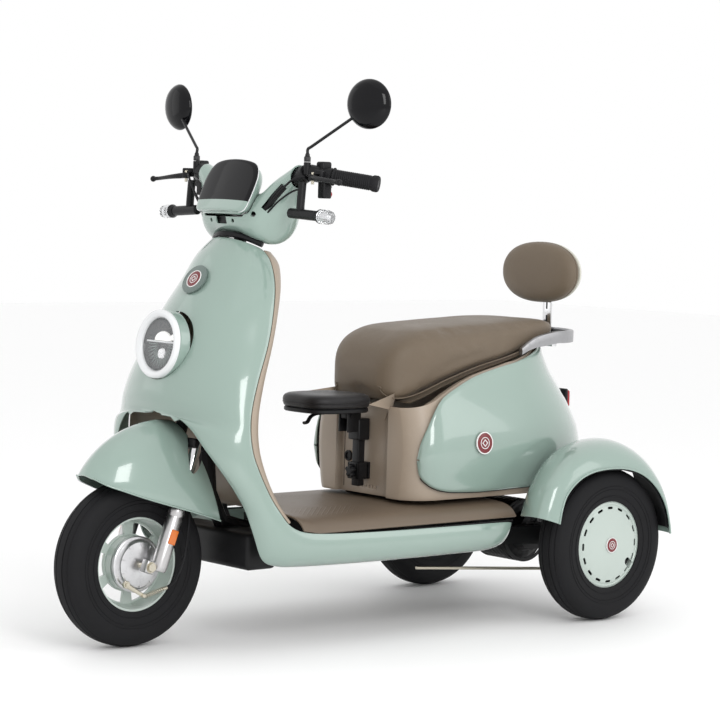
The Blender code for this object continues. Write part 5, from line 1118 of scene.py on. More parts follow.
def rearWheel(side, name, tag):
    hub = rearHub + xAxis * side * wheelX
    body = f"rear_wheel_{tag}"
    tyre(name + "Tyre", f"rear_tyre_{tag}", body, hub)
    out = xAxis * side
    dish = [(0.024, -0.04), (0.0243, 0.006), (0.06, 0.007), (0.094, 0.007), (0.0965, 0.004), (0.0985, -0.02),
            (0.0985, -0.027), (0.1085, -0.0288), (0.1105, -0.03), (0.1105, -0.027), (0.1095, -0.0255),
            (0.1015, -0.024), (0.1008, -0.01), (0.1008, 0.018), (0.102, 0.0245), (0.1095, 0.0258),
            (0.1108, 0.0275), (0.1105, 0.0302), (0.108, 0.03), (0.1, 0.029), (0.0985, 0.024), (0.0985, 0.016),
            (0.094, 0.012), (0.06, 0.0115), (0.024, 0.014), (0.009, 0.015), (0.009, -0.04)]
    piece(name + "Rim", spun(dish, hub, out, 96), "cap", body, f"rear_rim_{tag}", 35)
    cover = [(0.1042, 0.025), (0.1046, 0.0285), (0.103, 0.0302), (0.098, 0.0312), (0.0965, 0.03),
             (0.095, 0.0312), (0.09, 0.0328), (0.06, 0.0372), (0.03, 0.0392), (0.0, 0.0397), (0.0, 0.038),
             (0.03, 0.0375), (0.06, 0.0355), (0.09, 0.0311), (0.094, 0.0297), (0.099, 0.027), (0.103, 0.025)]
    cap = piece(name + "Cap", spun(cover, hub, out, 144), "cap", body, (), 30)
    turn = Matrix.Translation(hub) @ turned(out)
    slots = []
    for i in range(16):
        angle = 2 * pi * i / 16
        slot = brick((0.0862, -0.0088, 0.02), (0.0922, 0.0088, 0.05), 0.0027, 3)
        slots.append(moved(slot, turn @ Matrix.Rotation(angle, 4, "Z")))
    notch = Matrix.Rotation(radians(55 if side > 0 else 125), 4, "Z")
    slots.append(moved(rod((0.078, 0, 0.02), (0.078, 0, 0.05), 0.0095, 28), turn @ notch))
    slots.append(moved(brick((0.078, -0.0095, 0.02), (0.11, 0.0095, 0.05), 0.001), turn @ notch))
    carve(cap, cutter(joined(*slots)), True)
    settle(cap)
    behind = spun([(0.0935, 0.0175), (0.0935, 0.0205), (0.03, 0.0205), (0.03, 0.0175)], hub, out, 64)
    piece(name + "Shade", behind, "black", body)
    badge(name + "Badge", hub + out * 0.04, out, 0.0185, body, False)
    valve = moved(rod((0.08, 0, 0.02), (0.08, 0, 0.029), 0.0042, 20, 0.0015), turn @ notch)
    piece(name + "Valve", valve, "black", body)


def frontWheel():
    tyre("frontTyre", "front_tyre", "front_wheel", frontHub)
    dish = [(0.022, -0.034), (0.022, -0.0125), (0.03, -0.012), (0.06, -0.012), (0.092, -0.0115),
            (0.0965, -0.014), (0.0985, -0.02), (0.0985, -0.027), (0.1085, -0.0288), (0.1105, -0.03),
            (0.1105, -0.027), (0.1095, -0.0255), (0.1015, -0.024), (0.1008, -0.01), (0.1008, 0.018),
            (0.102, 0.0245), (0.1095, 0.0258), (0.1108, 0.0275), (0.1105, 0.0302), (0.108, 0.03),
            (0.1, 0.029), (0.0985, 0.02), (0.0965, 0.002), (0.092, -0.0045), (0.062, -0.004), (0.062, 0.016),
            (0.056, 0.016), (0.056, -0.004), (0.022, -0.004), (0.022, 0.01), (0.009, 0.01), (0.009, -0.034)]
    rim = piece("frontRim", spun(dish, frontHub, xAxis, 120), "cap", "front_wheel", "front_rim", 35)
    gaps = []
    for i in range(6):
        inner, outer, row = 0.0645, 0.0885, []
        for height in (-0.03, 0.01):
            angles = [radians(60 * i + 9 + 42 * k / 10) for k in range(11)]
            ring = [Vector((inner * cos(a), inner * sin(a), height)) for a in angles]
            ring += [Vector((outer * cos(a), outer * sin(a), height)) for a in reversed(angles)]
            row.append(ring + [ring[0]])
        gaps.append(moved(gridOf(row, True), Matrix.Translation(frontHub) @ turned(xAxis)))
    carve(rim, cutter(joined(*gaps)))
    soft = rim.modifiers.new("soft", "BEVEL")
    soft.width, soft.segments, soft.limit_method, soft.angle_limit = 0.0012, 2, "ANGLE", radians(50)
    settle(rim)
    bolts = []
    for i in range(6):
        angle = radians(60 * i)
        at = frontHub + Vector((-0.0125, 0.046 * cos(angle), 0.046 * sin(angle)))
        bolts.append(rod(at, at - xAxis * 0.004, 0.0042, 6, 0.0006))
    piece("frontRimBolts", joined(*bolts), "zinc", "front_wheel")


def drumPlate():
    plate = [(0.0, 0.0185), (0.054, 0.019), (0.0605, 0.0205), (0.0625, 0.023), (0.0625, 0.03), (0.06, 0.0318),
             (0.056, 0.0318), (0.052, 0.035), (0.05, 0.0405), (0.038, 0.044), (0.022, 0.0458), (0.0, 0.0458)]
    ribs = [spun(plate, frontHub, xAxis, 96)]
    for i in range(10):
        angle = 2 * pi * i / 10
        rib = brick((0.022, -0.001, 0.036), (0.0505, 0.001, 0.0432), 0.0005, 1)
        ribs.append(moved(rib, Matrix.Translation(frontHub) @ turned(xAxis) @ Matrix.Rotation(angle, 4, "Z")))
    piece("drumPlate", joined(*ribs), "alloy", "fork_slider", "brake_backplate")
    pivot, tip = fore(0.0491, -0.042, 0.146), fore(0.0491, 0.005, 0.118)
    along = (tip - pivot).normalized()
    arm = tube([pivot, pivot + along * 0.02, tip - along * 0.01, tip], [0.0062, 0.0052, 0.0044, 0.005], 16,
               0.36)
    boss = [arm, rod(pivot - xAxis * 0.002, pivot + xAxis * 0.006, 0.0085, 28, 0.001),
            rod(pivot + xAxis * 0.006, pivot + xAxis * 0.009, 0.005, 6, 0.0006),
            rod(tip - xAxis * 0.006, tip + xAxis * 0.006, 0.0048, 20, 0.001)]
    piece("drumArm", joined(*boss), "zinc", "drum_arm", "front_brake_arm")
    coil, turns = [], 9
    start, end = fore(0.0491, 0.01, 0.116), fore(0.0491, 0.058, 0.128)
    ahead = (end - start).normalized()
    up = ahead.cross(xAxis)
    for i in range(turns * 12 + 1):
        angle = 2 * pi * i / 12
        coil.append(start + (end - start) * (i / (turns * 12)) + xAxis * cos(angle) * 0.0048 + up * sin(angle)
                    * 0.0048)
    parts = [tube(coil, 0.0009, 8), rod(start - ahead * 0.008, end + ahead * 0.004, 0.0013, 12),
             rod(end, end + ahead * 0.012, 0.0042, 20, 0.001)]
    piece("drumSpring", joined(*parts), "zinc", "fork_slider")
    hose = curl([end + ahead * 0.012, fore(0.06, 0.085, 0.15), fore(0.066, 0.102, 0.2),
                 fore(0.066, 0.112, 0.26), fore(0.06, 0.118, 0.3)], 10)
    piece("drumCable", tube(hose, 0.0031, 12), "grip", "fork_slider")


# fork
fork = {"leg": 0.075, "crown": 0.28, "stanchion": 0.0125}


def forkParts():
    lower, upper = [], []
    for side in (1, -1):
        x = side * fork["leg"]
        profile = [(0.0, -0.012), (0.015, -0.012), (0.0175, -0.008), (0.0185, 0.0), (0.0185, 0.108),
                   (0.0172, 0.1115), (0.0172, 0.116), (0.0185, 0.1185), (0.0185, 0.13), (0.0168, 0.135),
                   (0.0132, 0.135), (0.0132, 0.126), (0.0, 0.126)]
        lower.append(spun(profile, forkPoint(x, 0), forkUp, 56))
        foot = brick((-0.011, -0.0125, -0.014), (0.011, 0.0125, 0.014), 0.003)
        lower.append(moved(foot, Matrix.Translation(frontHub + xAxis * (x - side * 0.002)) @ turned(forkUp)))
        upper.append(rod(forkPoint(x, 0.1275), forkPoint(x, 0.288), fork["stanchion"], 48, 0.0006))
    piece("forkSliders", joined(*lower), "satin", "fork_slider", "fork_lower")
    axle = [rod(frontHub - xAxis * 0.088, frontHub + xAxis * 0.088, 0.0062, 24, 0.0008)]
    for side in (1, -1):
        axle.append(rod(frontHub + xAxis * side * 0.0845, frontHub + xAxis * side * 0.0905, 0.0105, 6, 0.001))
        axle.append(rod(frontHub + xAxis * side * 0.083, frontHub + xAxis * side * 0.0845, 0.0125, 28,
                        0.0004))
    piece("frontAxle", joined(*axle), "zinc", "fork_slider")
    slab = moved(brick((-0.087, -0.017, -0.011), (0.087, 0.017, 0.011), 0.005, 4),
                 Matrix.Translation(forkPoint(0, fork["crown"])) @ turned(forkUp))
    stem = rod(forkPoint(0, 0.27), forkPoint(0, 0.7865), 0.0145, 48, 0.001)
    piece("forkCrown", joined(slab, stem), "frame", "steering", "fork_crown")
    piece("forkStanchions", joined(*upper), "chrome", "steering")
    seals = [spun([(0.0134, 0.1352), (0.0166, 0.1352), (0.016, 0.1395), (0.014, 0.141), (0.0134, 0.141)],
                  forkPoint(side * fork["leg"], 0), forkUp, 40) for side in (1, -1)]
    piece("forkSeals", joined(*seals), "grip", "fork_slider")
    glow = []
    for side in (1, -1):
        at = forkPoint(side * fork["leg"], 0.068, 0) + xAxis * side * 0.0182
        plate = brick((-0.0025, -0.0095, -0.0165), (0.002, 0.0095, 0.0165), 0.002)
        glow.append(moved(plate, Matrix.Translation(at) @ Matrix.Rotation(-rake, 4, "X")))
    piece("forkReflectors", joined(*glow), "orange", "fork_slider")


# bars and headset
barBend = [(0.0, 0.307, 0.952), (0.035, 0.306, 0.955), (0.07, 0.308, 0.966), (0.1, 0.31, 0.986),
           (0.13, 0.313, 1.011), (0.16, 0.316, 1.037), (0.195, 0.322, 1.0545), (0.2165, 0.336, 1.052)]
gripFrom, gripTo = Vector((0.2165, 0.336, 1.052)), Vector((0.323, 0.4165, 1.0335))
gripAxis = (gripTo - gripFrom).normalized()


def onSide(side, point):
    return fore(side * point[0], point[1], point[2])


def handlebar():
    half = curl(barBend, 6) + [gripFrom + gripAxis * d for d in (0.012, 0.06, 0.11, 0.133)]
    line = [onSide(-1, p) for p in reversed(half[1:])] + [onSide(1, p) for p in half]
    stem = rod(forkPoint(0, 0.8165), forkPoint(0, 0.862), 0.016, 40, 0.002)
    piece("handlebar", joined(tube(line, 0.011, 28), stem), "satin", "steering", "handlebar")


for side, name, tag in ((1, "rearLeft", "left"), (-1, "rearRight", "right")):
    rearWheel(side, name, tag)
frontWheel()
drumPlate()
forkParts()
handlebar()
print("wheels and fork shaped")


def headset():
    rings = [(0.0, 0.314, 0.951, 0.084, 0.048), (0.035, 0.314, 0.952, 0.081, 0.048),
             (0.07, 0.314, 0.952, 0.075, 0.058), (0.095, 0.315, 0.959, 0.066, 0.063),
             (0.118, 0.317, 0.988, 0.052, 0.055), (0.142, 0.319, 1.02, 0.037, 0.038),
             (0.168, 0.319, 1.0455, 0.026, 0.026)]
    middles = curl([ring[:3] for ring in rings], 7)
    sizes = curl([(ring[3], ring[4], 0) for ring in rings], 7)
    rows = []
    for at, size in zip(middles, sizes):
        rows.append([fore(at.x, at.y + size.x * cos(a), at.z + size.y * sin(a))
                     for a in (2 * pi * k / 72 for k in range(73))])
    shell = mirrored(gridOf(rows))
    cuts = [rod(forkPoint(0, 0.7), forkPoint(0, 0.8), 0.034, 40)]
    cuts.append(dashSolid([(-0.02, -0.02, 0.0076), (-0.02, 0.0185, 0.0076), (0.08, 0.037, 0.004),
                           (0.19, 0.046, 0.0006)]))
    cuts.append(brick(fore(-0.0185, 0.18, 0.9365), fore(0.0185, 0.262, 0.9525), 0.003))
    for x in (-0.039, 0.039):
        cuts.append(rod(fore(x, 0.19, 0.944), fore(x, 0.2435, 0.944), 0.0046, 20))
    for side in (1, -1):
        cuts.append(rod(fore(side * 0.094, 0.19, 0.96), fore(side * 0.094, 0.275, 0.96), 0.0062, 24))
        row = curl([fore(side * 0.11, 0.272, 0.972), fore(side * 0.122, 0.275, 0.985),
                    fore(side * 0.135, 0.28, 1.003), fore(side * 0.152, 0.29, 1.024)], 4)
        cuts.append(tube(row, 0.008, 12, 1.9))
    panel("headsetCover", shell, "mint", "steering", "headset_cover", fore(0, 0.314, 0.962), 0.003, 0.0007,
          [cutter(bm) for bm in cuts])
    dark = [spun([(0, 0.0), (0.03, 0.0), (0.03, 0.004), (0, 0.004)], forkPoint(0, 0.792), forkUp, 40),
            brick(fore(-0.016, 0.2395, 0.9345), fore(0.016, 0.2475, 0.9535), 0.001)]
    piece("headsetDark", joined(*dark), "black", "steering")
    screws = [rod(fore(x, 0.2485, 0.944), fore(x, 0.2445, 0.944), 0.0036, 20, 0.0008)
              for x in (-0.039, 0.039)]
    piece("headsetScrews", joined(*screws), "zinc", "steering")
    darkStrip = curl([fore(-0.09, 0.282, 0.892), fore(-0.046, 0.256, 0.909), fore(0, 0.239, 0.914),
                 fore(0.046, 0.256, 0.909), fore(0.09, 0.282, 0.892)], 8)
    piece("headsetSeal", tube(darkStrip, 0.0066, 12), "black", "steering")
    slots = []
    for side in (1, -1):
        row = [fore(side * 0.11, 0.278, 0.974), fore(side * 0.122, 0.281, 0.987),
               fore(side * 0.135, 0.286, 1.005), fore(side * 0.15, 0.295, 1.023)]
        slots.append(tube(curl(row, 4), 0.0074, 12, 1.9))
    piece("headsetSlots", joined(*slots), "black", "steering")
    for side, tag in ((1, "Left"), (-1, "Right")):
        collar = rod(onSide(side, (0.164, 0.319, 1.0415)), onSide(side, (0.196, 0.319, 1.0545)), 0.0195, 40,
                     0.002)
        piece(f"barCollar{tag}", collar, "black", "steering")


dash = {"lean": radians(24), "low": (0.0, 0.216, 0.968), "thick": 0.0115, "split": 0.0255}
dashUp = Vector((0, sin(dash["lean"]), cos(dash["lean"])))
dashBack = Vector((0, cos(dash["lean"]), -sin(dash["lean"])))
dashOutline = [(-0.07, 0.0), (-0.084, 0.0035), (-0.09, 0.013), (-0.0922, 0.026), (-0.0938, 0.045),
               (-0.0942, 0.068), (-0.092, 0.088), (-0.0835, 0.1065), (-0.0715, 0.117), (-0.055, 0.1225),
               (-0.028, 0.126), (0.0, 0.127)]


def dashRing(shrink, back, chin=0.0, wrap=0.0):
    half = curl([(x, up, 0) for x, up in dashOutline], 3)
    shape = [(p.x, p.y) for p in half] + [(-p.x, p.y) for p in reversed(half[:-1])]
    shape += [(x, 0.0) for x in (0.05, 0.025, 0.0, -0.025, -0.05, -0.07)]
    ring = []
    for x, up in shape:
        low = chin if up < 1e-6 else 0.0
        up = 0.06 + (up - low - 0.06) * (1 - shrink)
        across = x * (1 - shrink)
        depth = back + across ** 2 * 11 * wrap
        ring.append(fore(*dash["low"]) + xAxis * x * (1 - shrink) + dashUp * up + dashBack * depth)
    return ring


def dashSolid(steps):
    return gridOf([dashRing(*step) for step in steps], True)


def dashParts():
    thick = dash["thick"]

    def visor(top):  # the dark glass above the split, or the chin below it
        steps = [(shrink, 0.0004, 0.0, 0.08) for shrink in (0.97, 0.75, 0.5, 0.3, 0.12)]
        steps += [(0.06, 0.0007, 0.0, 0.08), (0.03, 0.0015, 0.0, 0.08), (0.01, 0.003, 0.0, 0.075),
                  (0.001, 0.0055, 0.0, 0.05), (0.0, thick - 0.0006), (0.004, thick), (0.97, thick)]
        made = dashSolid(steps)
        bmesh.ops.bisect_plane(made, geom=made.verts[:] + made.edges[:] + made.faces[:], dist=1e-6,
                               plane_co=fore(*dash["low"]) + dashUp * dash["split"],
                               plane_no=dashUp * (-1 if top else 1), clear_outer=True)
        bmesh.ops.holes_fill(made, edges=made.edges, sides=0)
        return made

    piece("dashVisor", visor(True), "gloss", "steering", "dash_visor", 50)
    piece("dashChin", visor(False), "mint", "steering", (), 50)
    chin = 0.006
    body = [(0.97, thick + 0.0006, 0.001), (0.092, thick + 0.0006, chin), (0.07, thick + 0.0022, chin),
            (0.056, 0.016, chin), (0.054, 0.0185, chin), (0.064, 0.023, chin * 0.9),
            (0.095, 0.03, chin * 0.68), (0.13, 0.036, chin / 2), (0.17, 0.0405, chin * 0.24),
            (0.23, 0.0438, 0.0), (0.97, 0.0438, 0.0)]
    piece("dashPod", dashSolid(body), "mint", "steering", "dash_pod", 60)
    trim = dashRing(0.0005, thick + 0.0004)
    piece("dashTrim", tube(trim[:67], 0.0012, 8), "ring", "steering")
    at = fore(*dash["low"]) + dashUp * 0.062 + dashBack * 0.0436
    screen = brick((-0.058, -0.03, -0.0005), (0.058, 0.03, 0.0016), 0.0012)
    piece("display", moved(screen, Matrix.Translation(at) @ turned(dashBack)), "gloss", "steering")


# grips, pods, levers
def gripParts():
    for side, name, node, body in ((1, "leftGrip", "left_grip", "steering"),
                                   (-1, "throttleGrip", "throttle_grip", "throttle")):
        start, ahead = onSide(side, gripFrom), Vector((side * gripAxis.x, gripAxis.y, gripAxis.z))
        begin, long = start + ahead * 0.0315, 0.105
        profile = [(0.0113, 0.0), (0.0192, 0.0), (0.02, 0.0008), (0.02, 0.0036), (0.0188, 0.0044),
                   (0.0165, 0.006)]
        at = 0.008
        while at < long - 0.018:
            profile += [(0.0168, at), (0.017, at + 0.001), (0.0168, at + 0.002), (0.0158, at + 0.0026)]
            profile.append((0.0158, at + 0.0036))
            at += 0.0044
        profile += [(0.0165, long - 0.016), (0.0182, long - 0.013), (0.0185, long - 0.011),
                    (0.0185, long - 0.004), (0.0172, long - 0.0008), (0.016, long), (0.0113, long)]
        piece(name, spun(profile, begin, ahead, 56), "grip", body, node, 60)
        plug = [(0.0, long - 0.002), (0.0108, long - 0.002), (0.0108, long - 0.001), (0.0, long + 0.0002)]
        piece(name + "Plug", spun(plug, begin, ahead, 32), "black", body)


def hornAt():
    mid = onSide(1, gripFrom) + gripAxis * 0.012
    return Vector((mid.x - 0.003, mid.y + 0.0166, mid.z - 0.042))


def podParts():
    for side, tag in ((1, "left"), (-1, "right")):
        start, ahead = onSide(side, gripFrom), Vector((side * gripAxis.x, gripAxis.y, gripAxis.z))
        low = start - ahead * 0.022
        shell = [(0.0115, 0.0), (0.0172, 0.0), (0.0185, 0.0014), (0.0185, 0.0242), (0.0179, 0.0248),
                 (0.0179, 0.0256), (0.0185, 0.0262), (0.0185, 0.0504), (0.0172, 0.0518), (0.0115, 0.0518)]
        across = (ahead.cross(zAxis) * -side).normalized()
        axes = Matrix((ahead, across, ahead.cross(across))).transposed().to_4x4()
        perch = moved(brick((0.0205, -0.0435, -0.0095), (0.0395, -0.012, 0.0095), 0.003),
                      Matrix.Translation(low) @ axes)
        boxLow = low + ahead * 0.034
        x = sorted((side * -0.0148, side * 0.0098))
        hump = brick(boxLow + Vector((x[0], -0.0138, 0.01)), boxLow + Vector((x[1], 0.0138, 0.0296)), 0.005,
                     4)
        core = brick(boxLow + Vector((x[0] + 0.001, -0.015, -0.012)),
                     boxLow + Vector((x[1] - 0.001, 0.0128, 0.015)), 0.004)
        x = sorted((side * -0.0138, side * 0.0078))
        under = brick(boxLow + Vector((x[0], -0.0078, -0.0515)), boxLow + Vector((x[1], 0.0157, -0.0085)),
                      0.003)
        boss = onSide(side, (0.203, 0.312, 1.05))
        tower = rod(boss, boss + zAxis * 0.0277, 0.0079, 32, 0.001)
        piece(f"pod{tag.title()}", joined(spun(shell, low, ahead, 56), core, hump, tower), "black",
              "steering", f"switch_pod_{tag}")
        arm = piece(f"pod{tag.title()}Perch", perch, "black", "steering")
        base = piece(f"pod{tag.title()}Base", under, "black", "steering")
        pivot = onSide(side, (0.232, 0.3045, 1.044))
        cuts = [(arm, rod(pivot - zAxis * 0.0156, pivot + zAxis * 0.0078, 0.02, 40))]
        if side > 0:
            horn = hornAt()
            cuts.append((base, rod(horn - yAxis * 0.0037, horn + yAxis * 0.01, 0.007, 28)))
            slide = brick(horn + Vector((-0.0062, -0.001, 0.01)), horn + Vector((0.0062, 0.01, 0.026)), 0.001)
            cuts.append((base, slide))
        for made, tool in cuts:
            carve(made, cutter(tool))
        settle(arm)
        settle(base)
        pin = rod(pivot - zAxis * 0.015, pivot + zAxis * 0.0115, 0.0035, 20, 0.0006)
        screw = rod(low + ahead * 0.03 - zAxis * 0.012, low + ahead * 0.03 - zAxis * 0.0205, 0.003, 6, 0.0004)
        piece(f"pod{tag.title()}Pin", joined(pin, screw), "zinc", "steering")


def leverParts():
    for side, tag in ((1, "left"), (-1, "right")):
        pivot, tip = onSide(side, (0.232, 0.3045, 1.044)), onSide(side, (0.342, 0.2885, 1.034))
        ball = (tip - pivot).normalized()
        steps = ((-0.06, 0.0), (0.08, -0.003), (0.3, -0.006), (0.55, -0.003), (0.8, 0.002), (0.93, 0.001))
        path = [pivot + (tip - pivot) * t + yAxis * bow for t, bow in steps] + [tip - ball * 0.004]
        radii = [0.0058, 0.0066, 0.0056, 0.0048, 0.0044, 0.0048, 0.0066]
        line = curl(path, 6)
        wide = [v.x for v in curl([(r, 0, 0) for r in radii], 6)]
        blade = tube(line, wide, 24, 1.12)
        knob = bmesh.new()
        bmesh.ops.create_uvsphere(knob, u_segments=28, v_segments=16, radius=0.0071)
        moved(knob, Matrix.Translation(tip - ball * 0.0012))
        boss = rod(pivot - zAxis * 0.0067, pivot + zAxis * 0.0067, 0.0098, 36, 0.0012)
        piece(f"lever{tag.title()}", joined(blade, knob, boss), "black", f"lever_{tag}", f"brake_lever_{tag}")


def mirrorParts():
    for side, tag, yaw in ((1, "left", 19), (-1, "right", 6)):
        yaw = radians(yaw)
        foot, head = onSide(side, (0.203, 0.312, 1.0786)), onSide(side, (0.347, 0.358, 1.206))
        joint = head + Vector((-side * 0.036, -0.01, -0.03))
        knee = foot + Vector((0, 0.001, 0.028))
        path = curl([foot + zAxis * 0.012, foot + zAxis * 0.018, knee, knee + (joint - knee) * 0.1,
                     knee + (joint - knee) * 0.55, joint], 8)
        nut = spun([(0, 0), (0.0074, 0), (0.0076, 0.001), (0.0076, 0.01), (0.006, 0.012), (0, 0.0125)], foot,
                   zAxis, 6)
        collar = spun([(0, 0.012), (0.0055, 0.012), (0.005, 0.0165), (0.0036, 0.019), (0, 0.019)], foot,
                      zAxis, 28)
        piece(f"mirrorStem{tag.title()}", joined(tube(path, 0.0034, 20), nut, collar), "frame",
              f"mirror_arm_{tag}", f"mirror_stem_{tag}")
        face = Vector((-side * sin(yaw), cos(yaw), 0.04)).normalized()
        at, r = head - face * 0.006, 0.0545
        profile = [(0.0, -0.01), (0.01, -0.0097), (0.022, -0.0085), (0.034, -0.006), (0.043, -0.0022),
                   (0.0492, 0.0032), (0.053, 0.0085), (r, 0.0122), (r, 0.0148), (r - 0.001, 0.016),
                   (r - 0.003, 0.0162), (r - 0.004, 0.0146), (0.0, 0.0144)]
        made = piece(f"mirrorShell{tag.title()}", spun(profile, at, face, 96), "gloss", f"mirror_{tag}",
                     f"mirror_head_{tag}", 40)
        along = joint - knee
        carve(made, cutter(rod(knee + along * 0.5, joint + along.normalized() * 0.0006, 0.0044, 24)))
        settle(made)
        glass = [(0.0, 0.0146), (r - 0.0041, 0.0146), (r - 0.0041, 0.0154), (0.0, 0.0158)]
        piece(f"mirrorGlass{tag.title()}", spun(glass, at, face, 72), "mirror", f"mirror_{tag}")


def signalParts():
    for side, tag in ((1, "left"), (-1, "right")):
        top, low = onSide(side, (0.203, 0.3, 1.033)), onSide(side, (0.203, 0.296, 0.972))
        stalk = tube(curl([top, low + Vector((0, 0, 0.012)), low], 6), 0.0092, 28)
        cross = rod(onSide(side, (0.168, 0.294, 0.965)), onSide(side, (0.262, 0.297, 0.96)), 0.0113, 40,
                    0.0035)
        piece(f"signalBar{tag.title()}", joined(stalk, cross), "black", "steering", f"turn_signal_{tag}")
        profile = [(0.0, 0.0), (0.0118, 0.0), (0.012, 0.002), (0.0158, 0.009), (0.0158, 0.0115),
                   (0.015, 0.0122), (0.015, 0.0128), (0.0158, 0.0134), (0.0158, 0.039), (0.0145, 0.044),
                   (0.011, 0.0478), (0.0, 0.051)]
        base = [p for p in profile if p[1] <= 0.0122] + [(0.0, 0.0122)]
        lensRing = [(0.0, 0.0126)] + [p for p in profile if p[1] >= 0.0128]
        at, out = onSide(side, (0.2615, 0.297, 0.96)), Vector((side, 0, -0.057)).normalized()
        piece(f"signalCup{tag.title()}", spun(base, at, out, 40), "black", "steering")
        piece(f"signalLens{tag.title()}", spun(lensRing, at, out, 10), "lens", "steering", (), 20)
        core = [(0.0, 0.014), (0.007, 0.014), (0.007, 0.03), (0.004, 0.036), (0.0, 0.037)]
        piece(f"signalBulb{tag.title()}", spun(core, at, out, 24), "chrome", "steering")


def switchParts():
    horn = hornAt()
    piece("hornButton", rod(horn, horn + yAxis * 0.006, 0.006, 32, 0.0015), "red", "horn", "horn_button")
    slider = horn + zAxis * 0.018
    knob = [brick(slider + Vector((-0.005, 0, -0.004)), slider + Vector((0.005, 0.005, 0.004)), 0.001)]
    knob += [brick(slider + Vector((x - 0.0004, 0.0048, -0.0036)),
                   slider + Vector((x + 0.0004, 0.006, 0.0036)), 0.0003, 1)
             for x in (-0.003, -0.001, 0.001, 0.003)]
    piece("turnSwitch", joined(*knob), "rail", "indicator_slider", "turn_switch")
    at = fore(-0.045, 0.356, 0.8)
    barrel = [(0.0, 0.0), (0.0128, 0.0), (0.013, 0.0006), (0.013, 0.0118), (0.0115, 0.0138), (0.0062, 0.0138),
              (0.0058, 0.0126), (0.0, 0.0126)]
    piece("keyBarrel", spun(barrel, at, yAxis, 48), "satin", "key_barrel", "ignition_barrel", 30)
    slot = brick(at + Vector((-0.0008, 0.012, -0.0042)), at + Vector((0.0008, 0.0131, 0.0042)), 0.0003, 1)
    piece("keySlot", slot, "black", "key_barrel")


# cables
def cableParts():
    lines = []
    for side in (1, -1):
        begin = onSide(side, (0.214, 0.296, 1.046))
        lines.append(tube(curl([begin, onSide(side, (0.19, 0.282, 1.038)), onSide(side, (0.16, 0.272, 1.012)),
                                onSide(side, (0.13, 0.268, 0.985)), onSide(side, (0.105, 0.268, 0.964)),
                                onSide(side, (0.08, 0.272, 0.952))], 10), 0.0026, 12))
        lines.append(tube(curl([onSide(side, (0.206, 0.3, 1.02)), onSide(side, (0.182, 0.288, 1.012)),
                                onSide(side, (0.15, 0.276, 0.99)), onSide(side, (0.12, 0.272, 0.966)),
                                onSide(side, (0.085, 0.28, 0.95))], 10), 0.0022, 12))
    piece("barCables", joined(*lines), "grip", "steering")


# underside and running gear
def relook(node, look):  # a node whose shape is right keeps it and takes a fuller finish
    made = bpy.data.objects[node]
    for slot in made.material_slots:
        slot.link = "OBJECT"
        slot.material = looks[look].material


def underParts():
    for node in ("frame", "swing_arm", "brake_pedal", "drive_motor", "shock_left", "shock_right"):
        relook(node, "frame")
    relook("battery_pack", "black")
    relook("brake_rod", "zinc")
    fins = []
    low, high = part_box("drive_motor")
    mid = (low + high) / 2
    radius = (high.z - low.z) / 2
    for i in range(9):
        x = mid.x + (i - 4) * 0.014
        fin = [(radius * 0.9, -0.0012), (radius + 0.0004, -0.0012), (radius + 0.0004, 0.0012),
               (radius * 0.9, 0.0012)]
        fins.append(spun(fin, Vector((x, mid.y, mid.z)), xAxis, 72))
    piece("motorFins", joined(*fins), "frame", "rear_swing")
    stay = rod(aft(0.17, -0.47, 0.142), aft(0.17, -0.05, 0.108), 0.0038, 16, 0.0008)
    piece("stayRod", stay, "zinc", "rear_swing")


headset()
dashParts()
gripParts()
podParts()
leverParts()
mirrorParts()
signalParts()
switchParts()
cableParts()
underParts()
print("bars and running gear shaped")


# camera, light and floor
studio = {"floorZ": 0.0, "sky": 1.0, "key": 60, "fill": 5, "top": 3, "back": 14}


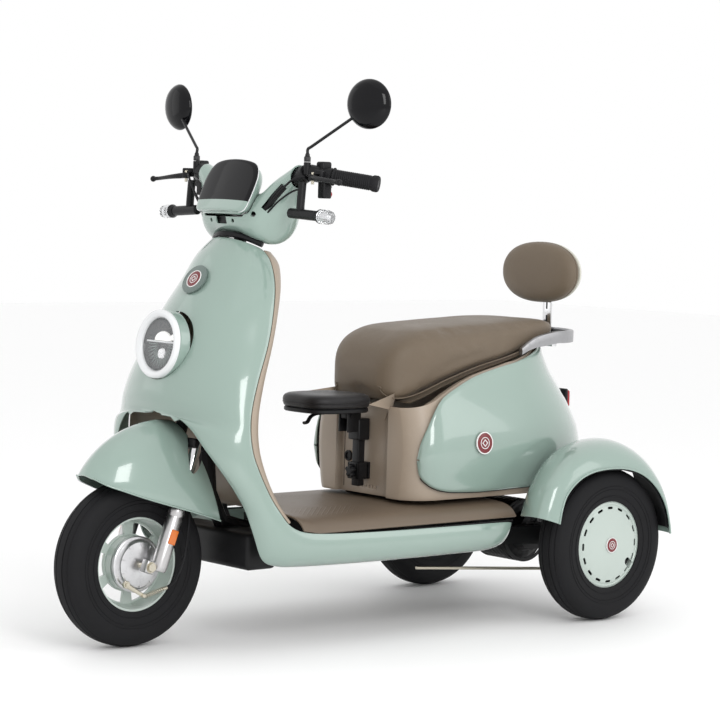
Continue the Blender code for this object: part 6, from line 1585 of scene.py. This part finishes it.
def studioSet():
    scene = bpy.context.scene
    sky = bpy.data.worlds.new("studioSky")
    sky.use_nodes = True
    sky.node_tree.nodes["Background"].inputs["Color"].default_value = (1.0, 1.0, 1.0, 1)
    sky.node_tree.nodes["Background"].inputs["Strength"].default_value = studio["sky"]
    scene.world = sky
    scene.view_settings.view_transform = "Standard"
    bm = bmesh.new()
    bmesh.ops.create_grid(bm, x_segments=1, y_segments=1, size=14)
    mesh = bpy.data.meshes.new("studioFloor")
    bm.to_mesh(mesh)
    bm.free()
    floor = bpy.data.objects.new("studioFloor", mesh)
    floor.location.z = studio["floorZ"]
    mesh.materials.append(Look("paleFloor", (0.97, 0.97, 0.97), 0.6).material)
    scene.collection.objects.link(floor)
    for name, power, size, spot in (("key", studio["key"], (1.2, 2.4), (3.6, -1.4, 2.2)),
                                    ("fill", studio["fill"], (1.6, 2.6), (-2.6, -2.2, 1.8)),
                                    ("top", studio["top"], (2.6, 2.6), (0.6, -0.4, 3.6)),
                                    ("back", studio["back"], (1.4, 2.4), (3.0, 2.2, 2.0))):
        light = bpy.data.lights.new(name, "AREA")
        light.shape, light.size, light.size_y = "RECTANGLE", size[0], size[1]
        light.energy = power
        holder = bpy.data.objects.new(name, light)
        holder.location = spot
        aim = Vector((0, -0.05, 0.55)) - Vector(spot)
        holder.rotation_euler = aim.to_track_quat("-Z", "Y").to_euler()
        scene.collection.objects.link(holder)


def cameraAt():
    yaw, pitch, roll = radians(49.209), radians(3.746), radians(1.633)
    view = Vector((-sin(yaw) * cos(pitch), cos(yaw) * cos(pitch), -sin(pitch)))
    right = Vector((cos(yaw), sin(yaw), 0))
    up = right.cross(view)
    across = right * cos(roll) + up * sin(roll)
    over = up * cos(roll) - right * sin(roll)
    lens = bpy.data.cameras.new("camera")
    lens.lens, lens.sensor_width = 121.933, 36
    camera = bpy.data.objects.new("camera", lens)
    turn = Matrix((across, over, -view)).transposed().to_4x4()
    camera.matrix_world = Matrix.Translation(fore(4.3689, -3.1131, 0.9973)) @ turn
    bpy.context.scene.collection.objects.link(camera)
    bpy.context.scene.camera = camera


studioSet()
cameraAt()
for spare in cutters:
    bpy.data.objects.remove(spare)
print("studio lit")
